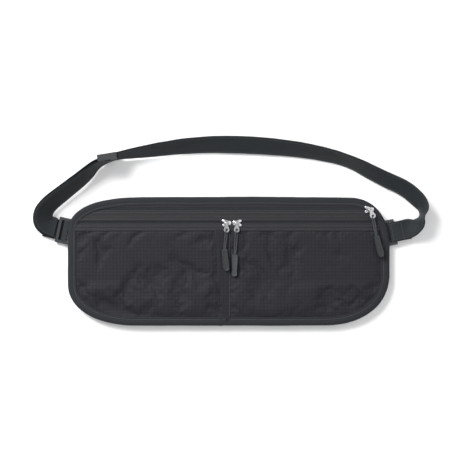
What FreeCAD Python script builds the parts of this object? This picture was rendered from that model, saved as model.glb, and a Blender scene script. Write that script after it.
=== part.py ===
# Money belt: a flat two-compartment waist pouch on an adjustable webbing strap.
# Frame: millimetres, +Z up, the pouch lies on its back on Z = 0, the zips run along X,
# the strap side of the pouch is +Y and the origin is under the middle of the pouch.
import FreeCAD, Part
import math
import os
import Sketcher

doc = FreeCAD.newDocument("money_belt")

# ---------------------------------------------------------------- driving dimensions
SIZES = {
    # pouch outline, which lies on the ground
    "ground": 0.0,
    "pouch_width": 321.6, "pouch_depth": 129.0, "radius_top": 30.0, "radius_bottom": 48.0,
    # edge binding: a folded tape with a slot for the sheets
    "binding_width": 8.5, "binding_base": 5.4, "binding_height": 4.4, "binding_wall": 0.6,
    "notch_gap": 0.3,
    # fabric sheets
    "cloth": 0.6, "sheet_inset": 1.0, "back_flange": 6.1, "back_cloth": 0.4, "front_base": 8.5,
    # hollow of the rear pocket, which leaves the ends of the pouch raised for the buckle
    "tub_end_inset": 46.0, "tub_side_inset": 13.9, "tub_slope": 5.0, "tub_radius": 12.0,
    # divider between the rear pocket and the two front pockets
    "divider_floor": 5.0, "divider_flange": 6.6, "divider_cloth": 0.35, "divider_top": 47.0,
    "divider_inset": 48.0, "divider_slope": 2.0, "divider_radius": 16.0,
    "centre_seam": -5.2, "seam_width": 10.4,
    # front pockets, which stand a little proud below the lower zip
    "puff_floor": 9.5, "puff_inset": 10.0, "puff_top": 30.0, "puff_slope": 3.0, "puff_radius": 38.0,
    # zips
    "upper_zip": 51.65, "lower_zip": 38.25, "zip_opening": 4.6, "zip_left": -150.0, "zip_right": 146.0,
    "zip_end_left": -147.0, "zip_end_right": 144.8,
    "tape_base": 8.1, "tape_thick": 0.35, "tape_width": 4.7, "stop_length": 1.6, "stop_high": 0.7,
    "coil_base": 7.7, "coil_width": 1.2, "coil_depth": 0.38, "coil_split": 1.4,
    # sliders: two plates, a post between the coils and a crown for the puller
    "upper_slider_x": 139.5, "left_slider_x": -2.7, "right_slider_x": 7.6,
    "slider_length": 9.0, "slider_width": 6.8, "slider_plate": 0.9, "slider_top": 9.2,
    "slider_low": 7.1, "slider_foot": 0.5, "slider_post": 0.8, "foot_inset": 1.0,
    "upper_pivot": 14.2, "lower_pivot": 11.55,
    "crown_radius": 0.4, "crown_span": 3.0, "crown_leg": 1.0,
    # pulls: a stamped puller, a looped cord and a moulded grip
    "puller_eye": 0.5, "loop_eye": 0.6, "loop_rim": 1.25, "ring_width": 2.2, "puller_width": 4.8,
    "puller_length": 7.5, "puller_thick": 0.8, "puller_window": 2.4, "puller_border": 1.6,
    "cord_width": 1.5,
    "upper_cord": 18.9, "left_cord": 19.0, "right_cord": 25.1,
    "grip_width": 7.0, "grip_length": 22.0, "grip_thick": 2.5,
    # webbing and its plastic hardware
    "web_width": 20.0, "web_thick": 0.9, "frame_half": 12.9, "slot_half": 10.4,
    "left_flat_end": 22.0, "right_flat_end": 21.5, "stitched_lap": 0.5,
    "frame_low": 1.9, "frame_high": 4.7,
    # buckle, measured from the centre bar of its webbing end towards the pouch
    "buckle_end": 8.1, "buckle_slot": 5.3, "buckle_core": 1.5, "shoulder": 8.6,
    "tongue_end": 24.0, "tongue_half": 2.0, "prong_low": 1.75, "prong_high": 3.85,
    "prong_pivot_x": 10.0, "prong_pivot_y": 8.7, "prong_root": 1.2, "prong_end": 25.0,
    "prong_inner": 7.7, "prong_outer": 9.9, "barb_start": 19.0, "barb_outer": 12.3,
    "socket_start": 9.0, "socket_end": 27.5, "socket_low": 0.4, "socket_high": 5.2, "socket_wall": 0.9,
    "socket_cavity": 26.0, "socket_half": 10.6, "window_start": 18.2,
    "tail_slot": 28.6, "tail_bar": 31.4, "tail_end": 33.9, "tail_low": 1.7, "tail_high": 3.7,
    "tab_end": 40.0, "tab_riser": 36.0, "tab_half": 10.0, "tab_low": 0.6, "tab_high": 4.8,
    # ring at the other end, measured from its middle outwards
    "ring_end": 6.5, "ring_window": 3.9, "ring_tab_end": 15.0, "ring_tab_riser": 11.0,
    # tri-glide, measured from its middle along the strap
    "glide_end": 9.5, "glide_slot": 6.7, "glide_core": 1.5, "glide_near": 0.8, "glide_far": 3.0,
    "glide_core_near": 1.9, "glide_core_far": 3.4, "glide_low": 0.3, "glide_rail": 2.6, "glide_high": 26.3,
    "strap_low": 3.3, "strap_rest": 0.3, "loop_gap": 0.1, "skin_gap": 0.15, "sewn_cloth": 0.85,
    "sewn_margin": 0.2, "ring_tab_cloth": 0.5,
}

sheet = doc.addObject("Spreadsheet::Sheet", "Sizes")
for row, (alias, value) in enumerate(SIZES.items(), start=1):
    sheet.set(f"A{row}", alias)
    sheet.set(f"B{row}", str(value))
    sheet.setAlias(f"B{row}", alias)
doc.recompute()


def size(alias):
    """The sheet's value of one driving dimension."""
    return float(sheet.get(alias))


def bind(obj, **expressions):
    """Bind properties of an object to formulas on the sheet; bare words are sheet aliases."""
    for prop, formula in expressions.items():
        obj.setExpression(prop, sheet_formula(formula))


def sheet_formula(formula):
    """Put the sheet's name before each alias in a formula."""
    words = []
    word = ""
    for letter in formula + " ":
        if letter.isalnum() or letter == "_":
            word += letter
            continue
        words.append("Sizes." + word if word in SIZES else word)
        words.append(letter)
        word = ""
    return "".join(words).strip()


# ---------------------------------------------------------------- sketch helpers
def origin_plane(body, role):
    """One of the body's own origin planes, found by its role."""
    for feature in body.Origin.OriginFeatures:
        if feature.Role == role:
            return feature
    raise ValueError(role)


def new_sketch(body, name, height):
    """A sketch on the body's XY plane, lifted to a height given as a formula."""
    sketch = body.newObject("Sketcher::SketchObject", name)
    sketch.AttachmentSupport = [(origin_plane(body, "XY_Plane"), "")]
    sketch.MapMode = "FlatFace"
    sketch.setExpression(".AttachmentOffset.Base.z", sheet_formula(height))
    return sketch


def rounded_rectangle(sketch, low, high, radii):
    """Draw a rectangle with round corners and bind it.

    low and high are (x, y) formulas of two corners; radii is (lower, upper) as formulas.
    """
    # a first guess of the right form, which the constraints then size
    left, bottom, right, top, guess = -50.0, -40.0, 50.0, 40.0, 10.0
    vector = FreeCAD.Vector
    corners = [
        (right - guess, bottom + guess, -90, 0),
        (right - guess, top - guess, 0, 90),
        (left + guess, top - guess, 90, 180),
        (left + guess, bottom + guess, 180, 270),
    ]
    arcs = []
    for x, y, start, end in corners:
        circle = Part.Circle(vector(x, y, 0), vector(0, 0, 1), guess)
        arcs.append(sketch.addGeometry(Part.ArcOfCircle(circle, math.radians(start), math.radians(end))))
    sides = [
        ((right, bottom + guess), (right, top - guess), "Vertical"),
        ((right - guess, top), (left + guess, top), "Horizontal"),
        ((left, top - guess), (left, bottom + guess), "Vertical"),
        ((left + guess, bottom), (right - guess, bottom), "Horizontal"),
    ]
    lines = []
    for start, end, direction in sides:
        line = sketch.addGeometry(Part.LineSegment(vector(*start, 0), vector(*end, 0)))
        sketch.addConstraint(Sketcher.Constraint(direction, line))
        lines.append(line)
    for index in range(4):
        sketch.addConstraint(Sketcher.Constraint("Tangent", arcs[index], 2, lines[index], 1))
        sketch.addConstraint(Sketcher.Constraint("Tangent", lines[index], 2, arcs[(index + 1) % 4], 1))
    for arc, radius in zip(arcs, (radii[0], radii[1], radii[1], radii[0])):
        constraint = sketch.addConstraint(Sketcher.Constraint("Radius", arc, guess))
        sketch.setExpression(f"Constraints[{constraint}]", sheet_formula(radius))
    places = [("DistanceX", lines[2], low[0], left), ("DistanceX", lines[0], high[0], right),
              ("DistanceY", lines[3], low[1], bottom), ("DistanceY", lines[1], high[1], top)]
    for kind, line, formula, value in places:
        constraint = sketch.addConstraint(Sketcher.Constraint(kind, -1, 1, line, 1, value))
        sketch.setExpression(f"Constraints[{constraint}]", sheet_formula(formula))


def pouch_outline(sketch, inset):
    """The outline of the pouch, drawn in by an inset."""
    rounded_rectangle(
        sketch,
        (f"-pouch_width / 2 + {inset}", f"-pouch_depth / 2 + {inset}"),
        (f"pouch_width / 2 - {inset}", f"pouch_depth / 2 - {inset}"),
        (f"radius_bottom - {inset}", f"radius_top - {inset}"),
    )


def pad(body, name, sketch, length):
    """Pad a sketch upwards by a length given as a formula."""
    feature = body.newObject("PartDesign::Pad", name)
    feature.Profile = sketch
    feature.setExpression("Length", sheet_formula(length))
    sketch.Visibility = False
    return feature


def pocket_down(body, name, sketch, length):
    """Cut a sketch downwards by a length given as a formula."""
    feature = body.newObject("PartDesign::Pocket", name)
    feature.Profile = sketch
    feature.setExpression("Length", sheet_formula(length))
    return feature


def new_body(label):
    """A PartDesign body whose label names its file."""
    body = doc.addObject("PartDesign::Body", label)
    body.Label = label
    return body


def loft(body, name, sketches):
    """A solid that runs straight from one sketch to another."""
    feature = body.newObject("PartDesign::AdditiveLoft", name)
    feature.Profile = sketches[0]
    feature.Sections = [sketches[1]]
    feature.Ruled = True
    return feature


# ---------------------------------------------------------------- finished sub-parts
PARTS = []


def finished(obj, label):
    """Give a sub-part the label that names its file, and keep it for the export."""
    obj.Label = label
    PARTS.append(obj)
    return obj


def box(name, length, width, height, corner):
    """A Part box bound to the sheet; corner is the (x, y, z) formula of its low corner."""
    obj = doc.addObject("Part::Box", name)
    bind(obj, Length=length, Width=width, Height=height)
    for axis, formula in zip("xyz", corner):
        obj.setExpression(f".Placement.Base.{axis}", sheet_formula(formula))
    return obj


def bar_along(name, direction, radius, length, centre):
    """A round bar along X or Y about a centre, all given as formulas."""
    obj = doc.addObject("Part::Cylinder", name)
    bind(obj, Radius=radius, Height=length)
    turned = {"x": FreeCAD.Rotation(FreeCAD.Vector(0, 1, 0), 90),
              "y": FreeCAD.Rotation(FreeCAD.Vector(1, 0, 0), -90)}[direction]
    obj.Placement = FreeCAD.Placement(FreeCAD.Vector(), turned)
    for axis, formula in zip("xyz", centre):
        start = f"{formula} - ({length}) / 2" if axis == direction else formula
        obj.setExpression(f".Placement.Base.{axis}", sheet_formula(start))
    return obj


def cut(name, base, tool):
    """One solid less another."""
    obj = doc.addObject("Part::Cut", name)
    obj.Base = base
    obj.Tool = tool
    return obj


def fuse(name, shapes):
    """Several touching solids as one."""
    obj = doc.addObject("Part::MultiFuse", name)
    obj.Shapes = shapes
    obj.Refine = True
    return obj


def common(name, base, tool):
    """What two solids share."""
    obj = doc.addObject("Part::Common", name)
    obj.Base = base
    obj.Tool = tool
    return obj


def group(name, shapes):
    """Separate identical solids under one name."""
    obj = doc.addObject("Part::Compound", name)
    obj.Links = shapes
    return obj


# ---------------------------------------------------------------- pouch sheets
def outline_pad(name, inset, base, thickness):
    """A flat sheet with the outline of the pouch."""
    body = new_body(name)
    sketch = new_sketch(body, name + "_outline", base)
    pouch_outline(sketch, inset)
    pad(body, name + "_pad", sketch, thickness)
    return body


def block(name, low, high, radius, wide_height, narrow_height, slope, shrink="0"):
    """A sloping block: wide at one height and narrower by the slope at the other."""
    body = new_body(name)
    sketches = []
    levels = [("wide", wide_height, shrink), ("narrow", narrow_height, f"{shrink} + {slope}")]
    for level, height, inset in levels:
        sketch = new_sketch(body, f"{name}_{level}", height)
        rounded_rectangle(
            sketch,
            (f"{low[0]} + {inset}", f"{low[1]} + {inset}"),
            (f"{high[0]} - ({inset})", f"{high[1]} - ({inset})"),
            (f"{radius} - ({inset})", f"{radius} - ({inset})"),
        )
        sketches.append(sketch)
    loft(body, name + "_loft", sketches)
    return body


def dished_sheet(name, flat, hollows, flange, floor, thickness, slope, radius):
    """A flat sheet with pockets pressed out of it; hollows is a list of (low, high) corners.

    flange and floor are the undersides of the flat and of the pressed-out parts.
    """
    outer = [flat]
    inner = []
    rising = size(floor) > size(flange)
    for number, (low, high) in enumerate(hollows):
        if rising:
            heights = (flange, f"{floor} + {thickness}")
            inside = (f"{flange} - 1", floor)
        else:
            heights = (f"{flange} + {thickness}", floor)
            inside = (f"{flange} + {thickness} + 1", f"{floor} + {thickness}")
        outer.append(block(f"{name}_outer{number}", low, high, radius, *heights, slope))
        inner.append(block(f"{name}_inner{number}", low, high, radius, *inside, slope, thickness))
    whole = fuse(name + "_whole", outer)
    tool = inner[0] if len(inner) == 1 else group(name + "_inside", inner)
    return cut(name + "_sheet", whole, tool)


back_flat = outline_pad("back_flat", "sheet_inset", "back_flange", "back_cloth")
back_hollow = (
    ("-pouch_width / 2 + tub_end_inset - tub_slope", "-pouch_depth / 2 + tub_side_inset - tub_slope"),
    ("pouch_width / 2 - tub_end_inset + tub_slope", "pouch_depth / 2 - tub_side_inset + tub_slope"),
)
finished(
    dished_sheet("back", back_flat, [back_hollow], "back_flange", "ground", "back_cloth",
                 "tub_slope", "tub_radius"),
    "back_panel",
)

divider_flat = common(
    "divider_flat",
    outline_pad("divider_outline", "sheet_inset", "divider_flange", "divider_cloth"),
    box("divider_area", "pouch_width", "pouch_depth / 2 + divider_top", "divider_flange",
        ("-pouch_width / 2", "-pouch_depth / 2", "ground + 1")),
)
divider_low = "-pouch_depth / 2 + tub_side_inset"
divider_high = "divider_top - 2"
divider_hollows = [
    (("-pouch_width / 2 + divider_inset", divider_low), ("centre_seam - seam_width / 2", divider_high)),
    (("centre_seam + seam_width / 2", divider_low), ("pouch_width / 2 - divider_inset", divider_high)),
]
finished(
    dished_sheet("divider", divider_flat, divider_hollows, "divider_flange", "divider_floor",
                 "divider_cloth", "divider_slope", "divider_radius"),
    "pocket_divider",
)

front_flat = outline_pad("front_flat", "sheet_inset", "front_base", "cloth")
half_opening = "zip_opening / 2"
seam_left = "centre_seam - seam_width / 2"
seam_right = "centre_seam + seam_width / 2"
panel_top = f"lower_zip - {half_opening}"


def front_piece(name, low, high):
    """The part of the flat front between two (x, y) corners."""
    area = box(name + "_area", f"({high[0]}) - ({low[0]})", f"({high[1]}) - ({low[1]})", "2",
               (low[0], low[1], "front_base - 1"))
    return common(name, front_flat, area)


edge_left, edge_right = "-pouch_width / 2", "pouch_width / 2"
edge_bottom, edge_top = "-pouch_depth / 2", "pouch_depth / 2"
finished(front_piece("top_strip", (edge_left, f"upper_zip + {half_opening}"), (edge_right, edge_top)),
         "front_top_strip")
finished(front_piece("middle_strip", (edge_left, f"lower_zip + {half_opening}"),
                     (edge_right, f"upper_zip - {half_opening}")), "front_middle_strip")
finished(front_piece("seam_strip", (seam_left, edge_bottom), (seam_right, panel_top)), "centre_strip")
puff_low = "-pouch_depth / 2 + puff_inset"
puff_spans = {
    "front_panel_left": (edge_left, seam_left, "-pouch_width / 2 + puff_inset", f"{seam_left} - 2"),
    "front_panel_right": (seam_right, edge_right, f"{seam_right} + 2", "pouch_width / 2 - puff_inset"),
}
for label, (left, right, puff_left, puff_right) in puff_spans.items():
    flat = front_piece(label + "_flat", (left, edge_bottom), (right, panel_top))
    raised = dished_sheet(label, flat, [((puff_left, puff_low), (puff_right, "puff_top"))],
                          "front_base", "puff_floor", "cloth", "puff_slope", "puff_radius")
    finished(raised, label)

# ---------------------------------------------------------------- edge binding
binding = new_body("binding")
outline = new_sketch(binding, "binding_outline", "binding_base")
pouch_outline(outline, "0")
pad(binding, "binding_pad", outline, "binding_height")
window = new_sketch(binding, "binding_window", "binding_base + binding_height")
pouch_outline(window, "binding_width")
pocket_down(binding, "binding_hole", window, "binding_height")
slot = new_sketch(binding, "binding_slot", "binding_base + binding_height - binding_wall")
pouch_outline(slot, "binding_wall")
pocket_down(binding, "binding_groove", slot, "binding_height - 2 * binding_wall")
# the parked upper slider stands in a notch of the binding's inner edge
notch = box("binding_notch", "slider_length + 2 * notch_gap", "slider_width + 2 * notch_gap",
            "binding_height",
            ("upper_slider_x - slider_length / 2 - notch_gap",
             "upper_zip - slider_width / 2 - notch_gap",
             "binding_base + binding_height - binding_wall - 0.1"))
finished(cut("binding_notched", binding, notch), "edge_binding")


# ---------------------------------------------------------------- zips
def zip_chain(prefix, centre):
    """Two tapes, two rows of coil behind them and a stop at each end of one zip."""
    tapes = []
    coils = []
    stops = []
    zip_length = "zip_right - zip_left"
    for side, tape_start, coil_start in (
        ("above", f"{centre} + coil_split / 2", f"{centre} + coil_split / 2"),
        ("below", f"{centre} - coil_split / 2 - tape_width", f"{centre} - coil_split / 2 - coil_width"),
    ):
        tapes.append(box(f"{prefix}_tape_{side}", zip_length, "tape_width", "tape_thick",
                         ("zip_left", tape_start, "tape_base")))
        coils.append(box(f"{prefix}_coil_{side}", zip_length, "coil_width", "coil_depth",
                         ("zip_left", coil_start, "coil_base")))
    stop_places = [("left", "zip_end_left - stop_length"), ("right", "zip_end_right")]
    for end, start in stop_places:
        stops.append(box(f"{prefix}_stop_{end}", "stop_length", "zip_opening - 1", "stop_high",
                         (start, f"{centre} - (zip_opening - 1) / 2", "tape_base + tape_thick")))
    finished(group(prefix + "_tapes", tapes), prefix + "_zip_tape")
    finished(group(prefix + "_coils", coils), prefix + "_zip_coil")
    return stops


all_stops = zip_chain("upper", "upper_zip") + zip_chain("lower", "lower_zip")
finished(group("stops", all_stops), "zip_stops")


# ---------------------------------------------------------------- sliders and pulls
def slider(prefix, centre_x, centre_y, pivot):
    """Top plate, foot, post and the crown that carries the puller."""
    half_length, half_width = "slider_length / 2", "slider_width / 2"
    top = box(prefix + "_plate", "slider_length", "slider_width", "slider_plate",
              (f"{centre_x} - {half_length}", f"{centre_y} - {half_width}", "slider_top"))
    foot = box(prefix + "_foot", "slider_length - 2 * foot_inset", "slider_width - 2 * foot_inset",
               "slider_foot", (f"{centre_x} - {half_length} + foot_inset",
                               f"{centre_y} - {half_width} + foot_inset", "slider_low"))
    post = box(prefix + "_post", "slider_length / 4", "slider_post", "slider_top - slider_low",
               (f"{centre_x} - slider_length / 8", f"{centre_y} - slider_post / 2", "slider_low"))
    pieces = [top, foot, post]
    for end, start in (("left", f"{centre_x} - crown_span / 2 - crown_leg"),
                       ("right", f"{centre_x} + crown_span / 2")):
        leg_height = f"{pivot} + crown_radius - slider_top - slider_plate"
        pieces.append(box(f"{prefix}_leg_{end}", "crown_leg", "2 * crown_radius", leg_height,
                          (start, f"{centre_y} - crown_radius", "slider_top + slider_plate")))
    pieces.append(bar_along(prefix + "_crown", "x", "crown_radius", "crown_span + crown_leg",
                            (centre_x, centre_y, pivot)))
    finished(fuse(prefix + "_body", pieces), prefix + "_slider")


def ring_about_x(name, eye, rim, width, centre):
    """A short tube about an axis along X."""
    return cut(name, bar_along(name + "_rim", "x", rim, width, centre),
               bar_along(name + "_eye", "x", eye, f"{width} + 2", centre))


def pull(prefix, centre_x, centre_y, pivot, cord_length):
    """The puller on the crown, the cord looped through it and the grip moulded on the cord."""
    ring = ring_about_x(prefix + "_ring", "puller_eye", "loop_rim", "ring_width",
                        (centre_x, centre_y, pivot))
    stem_start = f"{centre_y} - puller_length"
    plate_low = f"{pivot} - puller_thick / 2"
    stem_length = "puller_length - puller_eye - 0.2"
    stem = box(prefix + "_stem", "ring_width", stem_length, "puller_thick",
               (f"{centre_x} - ring_width / 2", stem_start, plate_low))
    head = box(prefix + "_head", "puller_width", "puller_window + puller_border", "puller_thick",
               (f"{centre_x} - puller_width / 2", stem_start, plate_low))
    opening = box(prefix + "_opening", "puller_width - 2", "puller_window", "puller_thick + 2",
                  (f"{centre_x} - puller_width / 2 + 1", f"{stem_start} + crown_radius",
                   f"{plate_low} - 1"))
    end_bar = bar_along(prefix + "_end_bar", "x", "crown_radius", "puller_width",
                        (centre_x, stem_start, pivot))
    blank = cut(prefix + "_blank", fuse(prefix + "_blank_whole", [ring, stem, head]), opening)
    finished(fuse(prefix + "_puller_whole", [blank, end_bar]), prefix + "_puller")

    loop = ring_about_x(prefix + "_loop", "loop_eye", "loop_rim", "cord_width",
                        (centre_x, stem_start, pivot))
    cord_start = f"{stem_start} - {cord_length}"
    cord_low = f"{pivot} - loop_rim"
    strands = box(prefix + "_strands", "cord_width", f"{cord_length} - loop_eye - 0.1", "2 * loop_rim",
                  (f"{centre_x} - cord_width / 2", cord_start, cord_low))
    finished(fuse(prefix + "_cord_whole", [loop, strands]), prefix + "_pull_cord")

    grip = new_body(prefix + "_grip")
    sketch = new_sketch(grip, prefix + "_grip_outline", f"{pivot} - grip_thick / 2")
    rounded_rectangle(
        sketch,
        (f"{centre_x} - grip_width / 2", f"{cord_start} - grip_length"),
        (f"{centre_x} + grip_width / 2", cord_start),
        ("grip_width / 2 - 0.2", "grip_width / 2 - 1"),
    )
    pad(grip, prefix + "_grip_pad", sketch, "grip_thick")
    finished(grip, prefix + "_pull_grip")


for prefix, centre_x, zip_line, pivot, cord_length in (
    ("upper", "upper_slider_x", "upper_zip", "upper_pivot", "upper_cord"),
    ("left", "left_slider_x", "lower_zip", "lower_pivot", "left_cord"),
    ("right", "right_slider_x", "lower_zip", "lower_pivot", "right_cord"),
):
    slider(prefix, centre_x, zip_line, pivot)
    pull(prefix, centre_x, zip_line, pivot, cord_length)


# ---------------------------------------------------------------- plastic hardware
def placed(obj, centre, angle):
    """Put a finished piece at a place in the plan, turned about Z."""
    obj.Placement = FreeCAD.Placement(
        FreeCAD.Vector(centre[0], centre[1], 0), FreeCAD.Rotation(FreeCAD.Vector(0, 0, 1), angle)
    )
    return obj


def span_box(name, x_span, y_span, z_span):
    """A box between pairs of formulas."""
    low = (x_span[0], y_span[0], z_span[0])
    lengths = [f"({end}) - ({start})" for start, end in (x_span, y_span, z_span)]
    return box(name, *lengths, low)


def across(half):
    """A span symmetrical about the strap's middle line."""
    return (f"-({half})", half)


def web_frame(name, x_span, windows, half, opening, z_span):
    """A flat moulded frame with one or two windows for webbing."""
    blank = span_box(name + "_blank", x_span, across(half), z_span)
    holes = []
    for number, window in enumerate(windows):
        holes.append(span_box(f"{name}_window{number}", window, across(opening),
                              (f"({z_span[0]}) - 1", f"({z_span[1]}) + 1")))
    tool = holes[0] if len(holes) == 1 else group(name + "_windows", holes)
    return cut(name + "_frame", blank, tool)


def web_wrap(name, inner_x, half, inner_z, thickness):
    """Webbing wrapped round a bar: a flat tube whose inside is given by its spans."""
    outer = span_box(name + "_outside", (f"{inner_x[0]} - {thickness}", f"{inner_x[1]} + {thickness}"),
                     across(half), (f"{inner_z[0]} - {thickness}", f"{inner_z[1]} + {thickness}"))
    inner = span_box(name + "_inside", inner_x, across(f"{half} + 1"), inner_z)
    return cut(name + "_wrap", outer, inner)


BUCKLE_CENTRE = (-164.4, 30.25)
BUCKLE_ANGLE = -12.0
frame_z = ("frame_low", "frame_high")

ladder = web_frame("buckle", ("-buckle_end", "shoulder"),
                   [("-buckle_slot", "-buckle_core"), ("buckle_core", "buckle_slot")],
                   "frame_half", "slot_half", frame_z)
tongue = span_box("buckle_tongue", ("shoulder", "tongue_end"), across("tongue_half"),
                  ("prong_low", "prong_high"))
placed(finished(fuse("buckle_male_whole", [ladder, tongue]), "buckle_male"), BUCKLE_CENTRE, BUCKLE_ANGLE)

for label, side in (("buckle_prong_upper", 1), ("buckle_prong_lower", -1)):
    root = doc.addObject("Part::Cylinder", label + "_root")
    bind(root, Radius="prong_root", Height="prong_high - prong_low")
    root.setExpression(".Placement.Base.x", sheet_formula("prong_pivot_x"))
    root.setExpression(".Placement.Base.y", sheet_formula(f"{side} * prong_pivot_y"))
    root.setExpression(".Placement.Base.z", sheet_formula("prong_low"))
    inner, outer, barb = (f"{side} * {edge}" for edge in ("prong_inner", "prong_outer", "barb_outer"))
    arm_y = (inner, outer) if side > 0 else (outer, inner)
    barb_y = (outer, barb) if side > 0 else (barb, outer)
    prong_z = ("prong_low", "prong_high")
    arm = span_box(label + "_arm", ("prong_pivot_x", "prong_end"), arm_y, prong_z)
    hook = span_box(label + "_barb", ("barb_start", "prong_end"), barb_y, prong_z)
    placed(finished(fuse(label + "_whole", [root, arm, hook]), label), BUCKLE_CENTRE, BUCKLE_ANGLE)

socket_z = ("socket_low", "socket_high")
shell = span_box("socket_shell", ("socket_start", "socket_end"), across("frame_half"), socket_z)
cavity = span_box("socket_cavity", ("socket_start - 1", "socket_cavity"), across("socket_half"),
                  ("socket_low + socket_wall", "socket_high - socket_wall"))
windows = span_box("socket_windows", ("window_start", "socket_cavity"), across("frame_half + 1"),
                   ("socket_low + socket_wall", "socket_high - socket_wall"))
tail = web_frame("socket_tail", ("socket_end", "tail_end"), [("tail_slot", "tail_end + 1")],
                 "frame_half", "slot_half", socket_z)
tail_bar = span_box("socket_bar", ("tail_bar", "tail_end"), across("frame_half"),
                    ("tail_low", "tail_high"))
hollow_shell = cut("socket_hollow", shell, group("socket_spaces", [cavity, windows]))
placed(finished(fuse("socket_whole", [hollow_shell, tail, tail_bar]), "buckle_female"),
       BUCKLE_CENTRE, BUCKLE_ANGLE)

tab_wrap = web_wrap("buckle_tab", ("tail_bar - loop_gap", "tail_end + loop_gap"), "tab_half",
                    ("tail_low - loop_gap", "tail_high + loop_gap"), "web_thick")
tab_tail = span_box("buckle_tab_tail", ("tail_end + loop_gap + web_thick", "tab_end"),
                    across("tab_half"), ("tab_low + 0.1", "tab_high"))
tab_riser = span_box("buckle_tab_riser", ("tab_riser", "tab_end"), across("tab_half"),
                     ("tab_high", "back_flange"))
placed(finished(fuse("buckle_tab_whole", [tab_wrap, tab_tail, tab_riser]), "buckle_tab"),
       BUCKLE_CENTRE, BUCKLE_ANGLE)

RING_CENTRE = (160.1, 28.4)
RING_ANGLE = 10.5
ring = web_frame("ring", across("ring_end"), [across("ring_window")], "frame_half", "slot_half", frame_z)
placed(finished(ring, "strap_ring"), RING_CENTRE, RING_ANGLE)
ring_wrap = web_wrap("ring_tab", ("-ring_end - loop_gap", "-ring_window + loop_gap"), "tab_half",
                     ("frame_low - loop_gap", "frame_high + loop_gap"), "ring_tab_cloth")
ring_tail = span_box("ring_tab_tail", ("-ring_tab_end", "-ring_end - loop_gap - ring_tab_cloth"),
                     across("tab_half"), ("frame_low - 0.6", "frame_high"))
ring_riser = span_box("ring_tab_riser", ("-ring_tab_end", "-ring_tab_riser"), across("tab_half"),
                      ("frame_high", "back_flange"))
placed(finished(fuse("ring_tab_whole", [ring_wrap, ring_tail, ring_riser]), "ring_tab"),
       RING_CENTRE, RING_ANGLE)

# ---------------------------------------------------------------- webbing
# The strap's route in the plan, from the ring to the buckle. It stands on edge between
# the two ends and lies flat at the ring and at the buckle.
STRAP_ROUTE = [
    (168.0, 29.9), (179.0, 32.2), (189.5, 38.0), (195.6, 50.2), (190.2, 62.6), (174.6, 73.8),
    (150.6, 83.8), (118.6, 101.2), (70.6, 112.0), (10.6, 117.0), (-39.4, 115.9), (-82.4, 109.7),
    (-129.4, 102.1), (-144.0, 86.2), (-167.8, 67.8), (-185.4, 53.2), (-187.4, 40.0), (-180.6, 33.4),
    (-172.6, 32.0),
]
ARC_SHARE = 0.45


def tangent_arcs(points):
    """Each inner point's arc: its radius, turn and tangent length along the runs."""
    arcs = []
    for before, point, after in zip(points, points[1:], points[2:]):
        into = math.atan2(point[1] - before[1], point[0] - before[0])
        out = math.atan2(after[1] - point[1], after[0] - point[0])
        turn = (out - into + math.pi) % (2 * math.pi) - math.pi
        shorter = min(math.dist(before, point), math.dist(point, after))
        tangent = ARC_SHARE * shorter
        arcs.append({"point": point, "into": into, "out": out, "turn": turn,
                     "tangent": tangent, "radius": tangent / math.tan(abs(turn) / 2)})
    return arcs


def side_edges(points, shift, height):
    """Lines and arcs that run beside the route at a sideways shift."""
    def beside(place, heading):
        return FreeCAD.Vector(place[0] - shift * math.sin(heading),
                              place[1] + shift * math.cos(heading), height)

    arcs = tangent_arcs(points)
    edges = []
    last = beside(points[0], arcs[0]["into"])
    for arc in arcs:
        x, y = arc["point"]
        reach = arc["tangent"]
        start = beside((x - reach * math.cos(arc["into"]), y - reach * math.sin(arc["into"])), arc["into"])
        end = beside((x + reach * math.cos(arc["out"]), y + reach * math.sin(arc["out"])), arc["out"])
        centre_shift = math.copysign(arc["radius"], arc["turn"])
        centre = (x - reach * math.cos(arc["into"]) - centre_shift * math.sin(arc["into"]),
                  y - reach * math.sin(arc["into"]) + centre_shift * math.cos(arc["into"]))
        middle_heading = arc["into"] + arc["turn"] / 2
        middle = (centre[0] + centre_shift * math.sin(middle_heading),
                  centre[1] - centre_shift * math.cos(middle_heading))
        edges.append(Part.LineSegment(last, start).toShape())
        edges.append(Part.Arc(start, beside(middle, middle_heading), end).toShape())
        last = end
    edges.append(Part.LineSegment(last, beside(points[-1], arcs[-1]["out"])).toShape())
    return edges


def route_length(points):
    """The length of the runs and arcs."""
    length = sum(math.dist(start, end) for start, end in zip(points, points[1:]))
    for arc in tangent_arcs(points):
        length += abs(arc["turn"]) * arc["radius"] - 2 * arc["tangent"]
    return length


def standing_band(label, points, shift, low, trim=None):
    """Webbing standing on edge along a route, its middle shifted sideways and an end trimmed."""
    thickness = size("web_thick")
    height = size("web_width")
    one_side = side_edges(points, shift - thickness / 2, low)
    other_side = side_edges(points, shift + thickness / 2, low)
    first, last = one_side[0].Vertexes[0].Point, other_side[0].Vertexes[0].Point
    near, far = one_side[-1].Vertexes[-1].Point, other_side[-1].Vertexes[-1].Point
    ends = [Part.makeLine(first, last), Part.makeLine(near, far)]
    outline = Part.Wire(Part.__sortEdges__(one_side + other_side + ends))
    solid = Part.Face(outline).extrude(FreeCAD.Vector(0, 0, height))
    if trim is not None:
        solid = solid.cut(trim)
    obj = doc.addObject("Part::Feature", label)
    obj.Shape = solid
    if shift == 0:
        expected = thickness * height * route_length(points)
        radii = [round(arc["radius"], 1) for arc in tangent_arcs(points)]
        print(label, "radii", radii, "volume ratio", round(solid.Volume / expected, 4))
    return finished(obj, label)


def along(start, end, share):
    """A point on the run between two points."""
    return (start[0] + share * (end[0] - start[0]), start[1] + share * (end[1] - start[1]))


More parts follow.
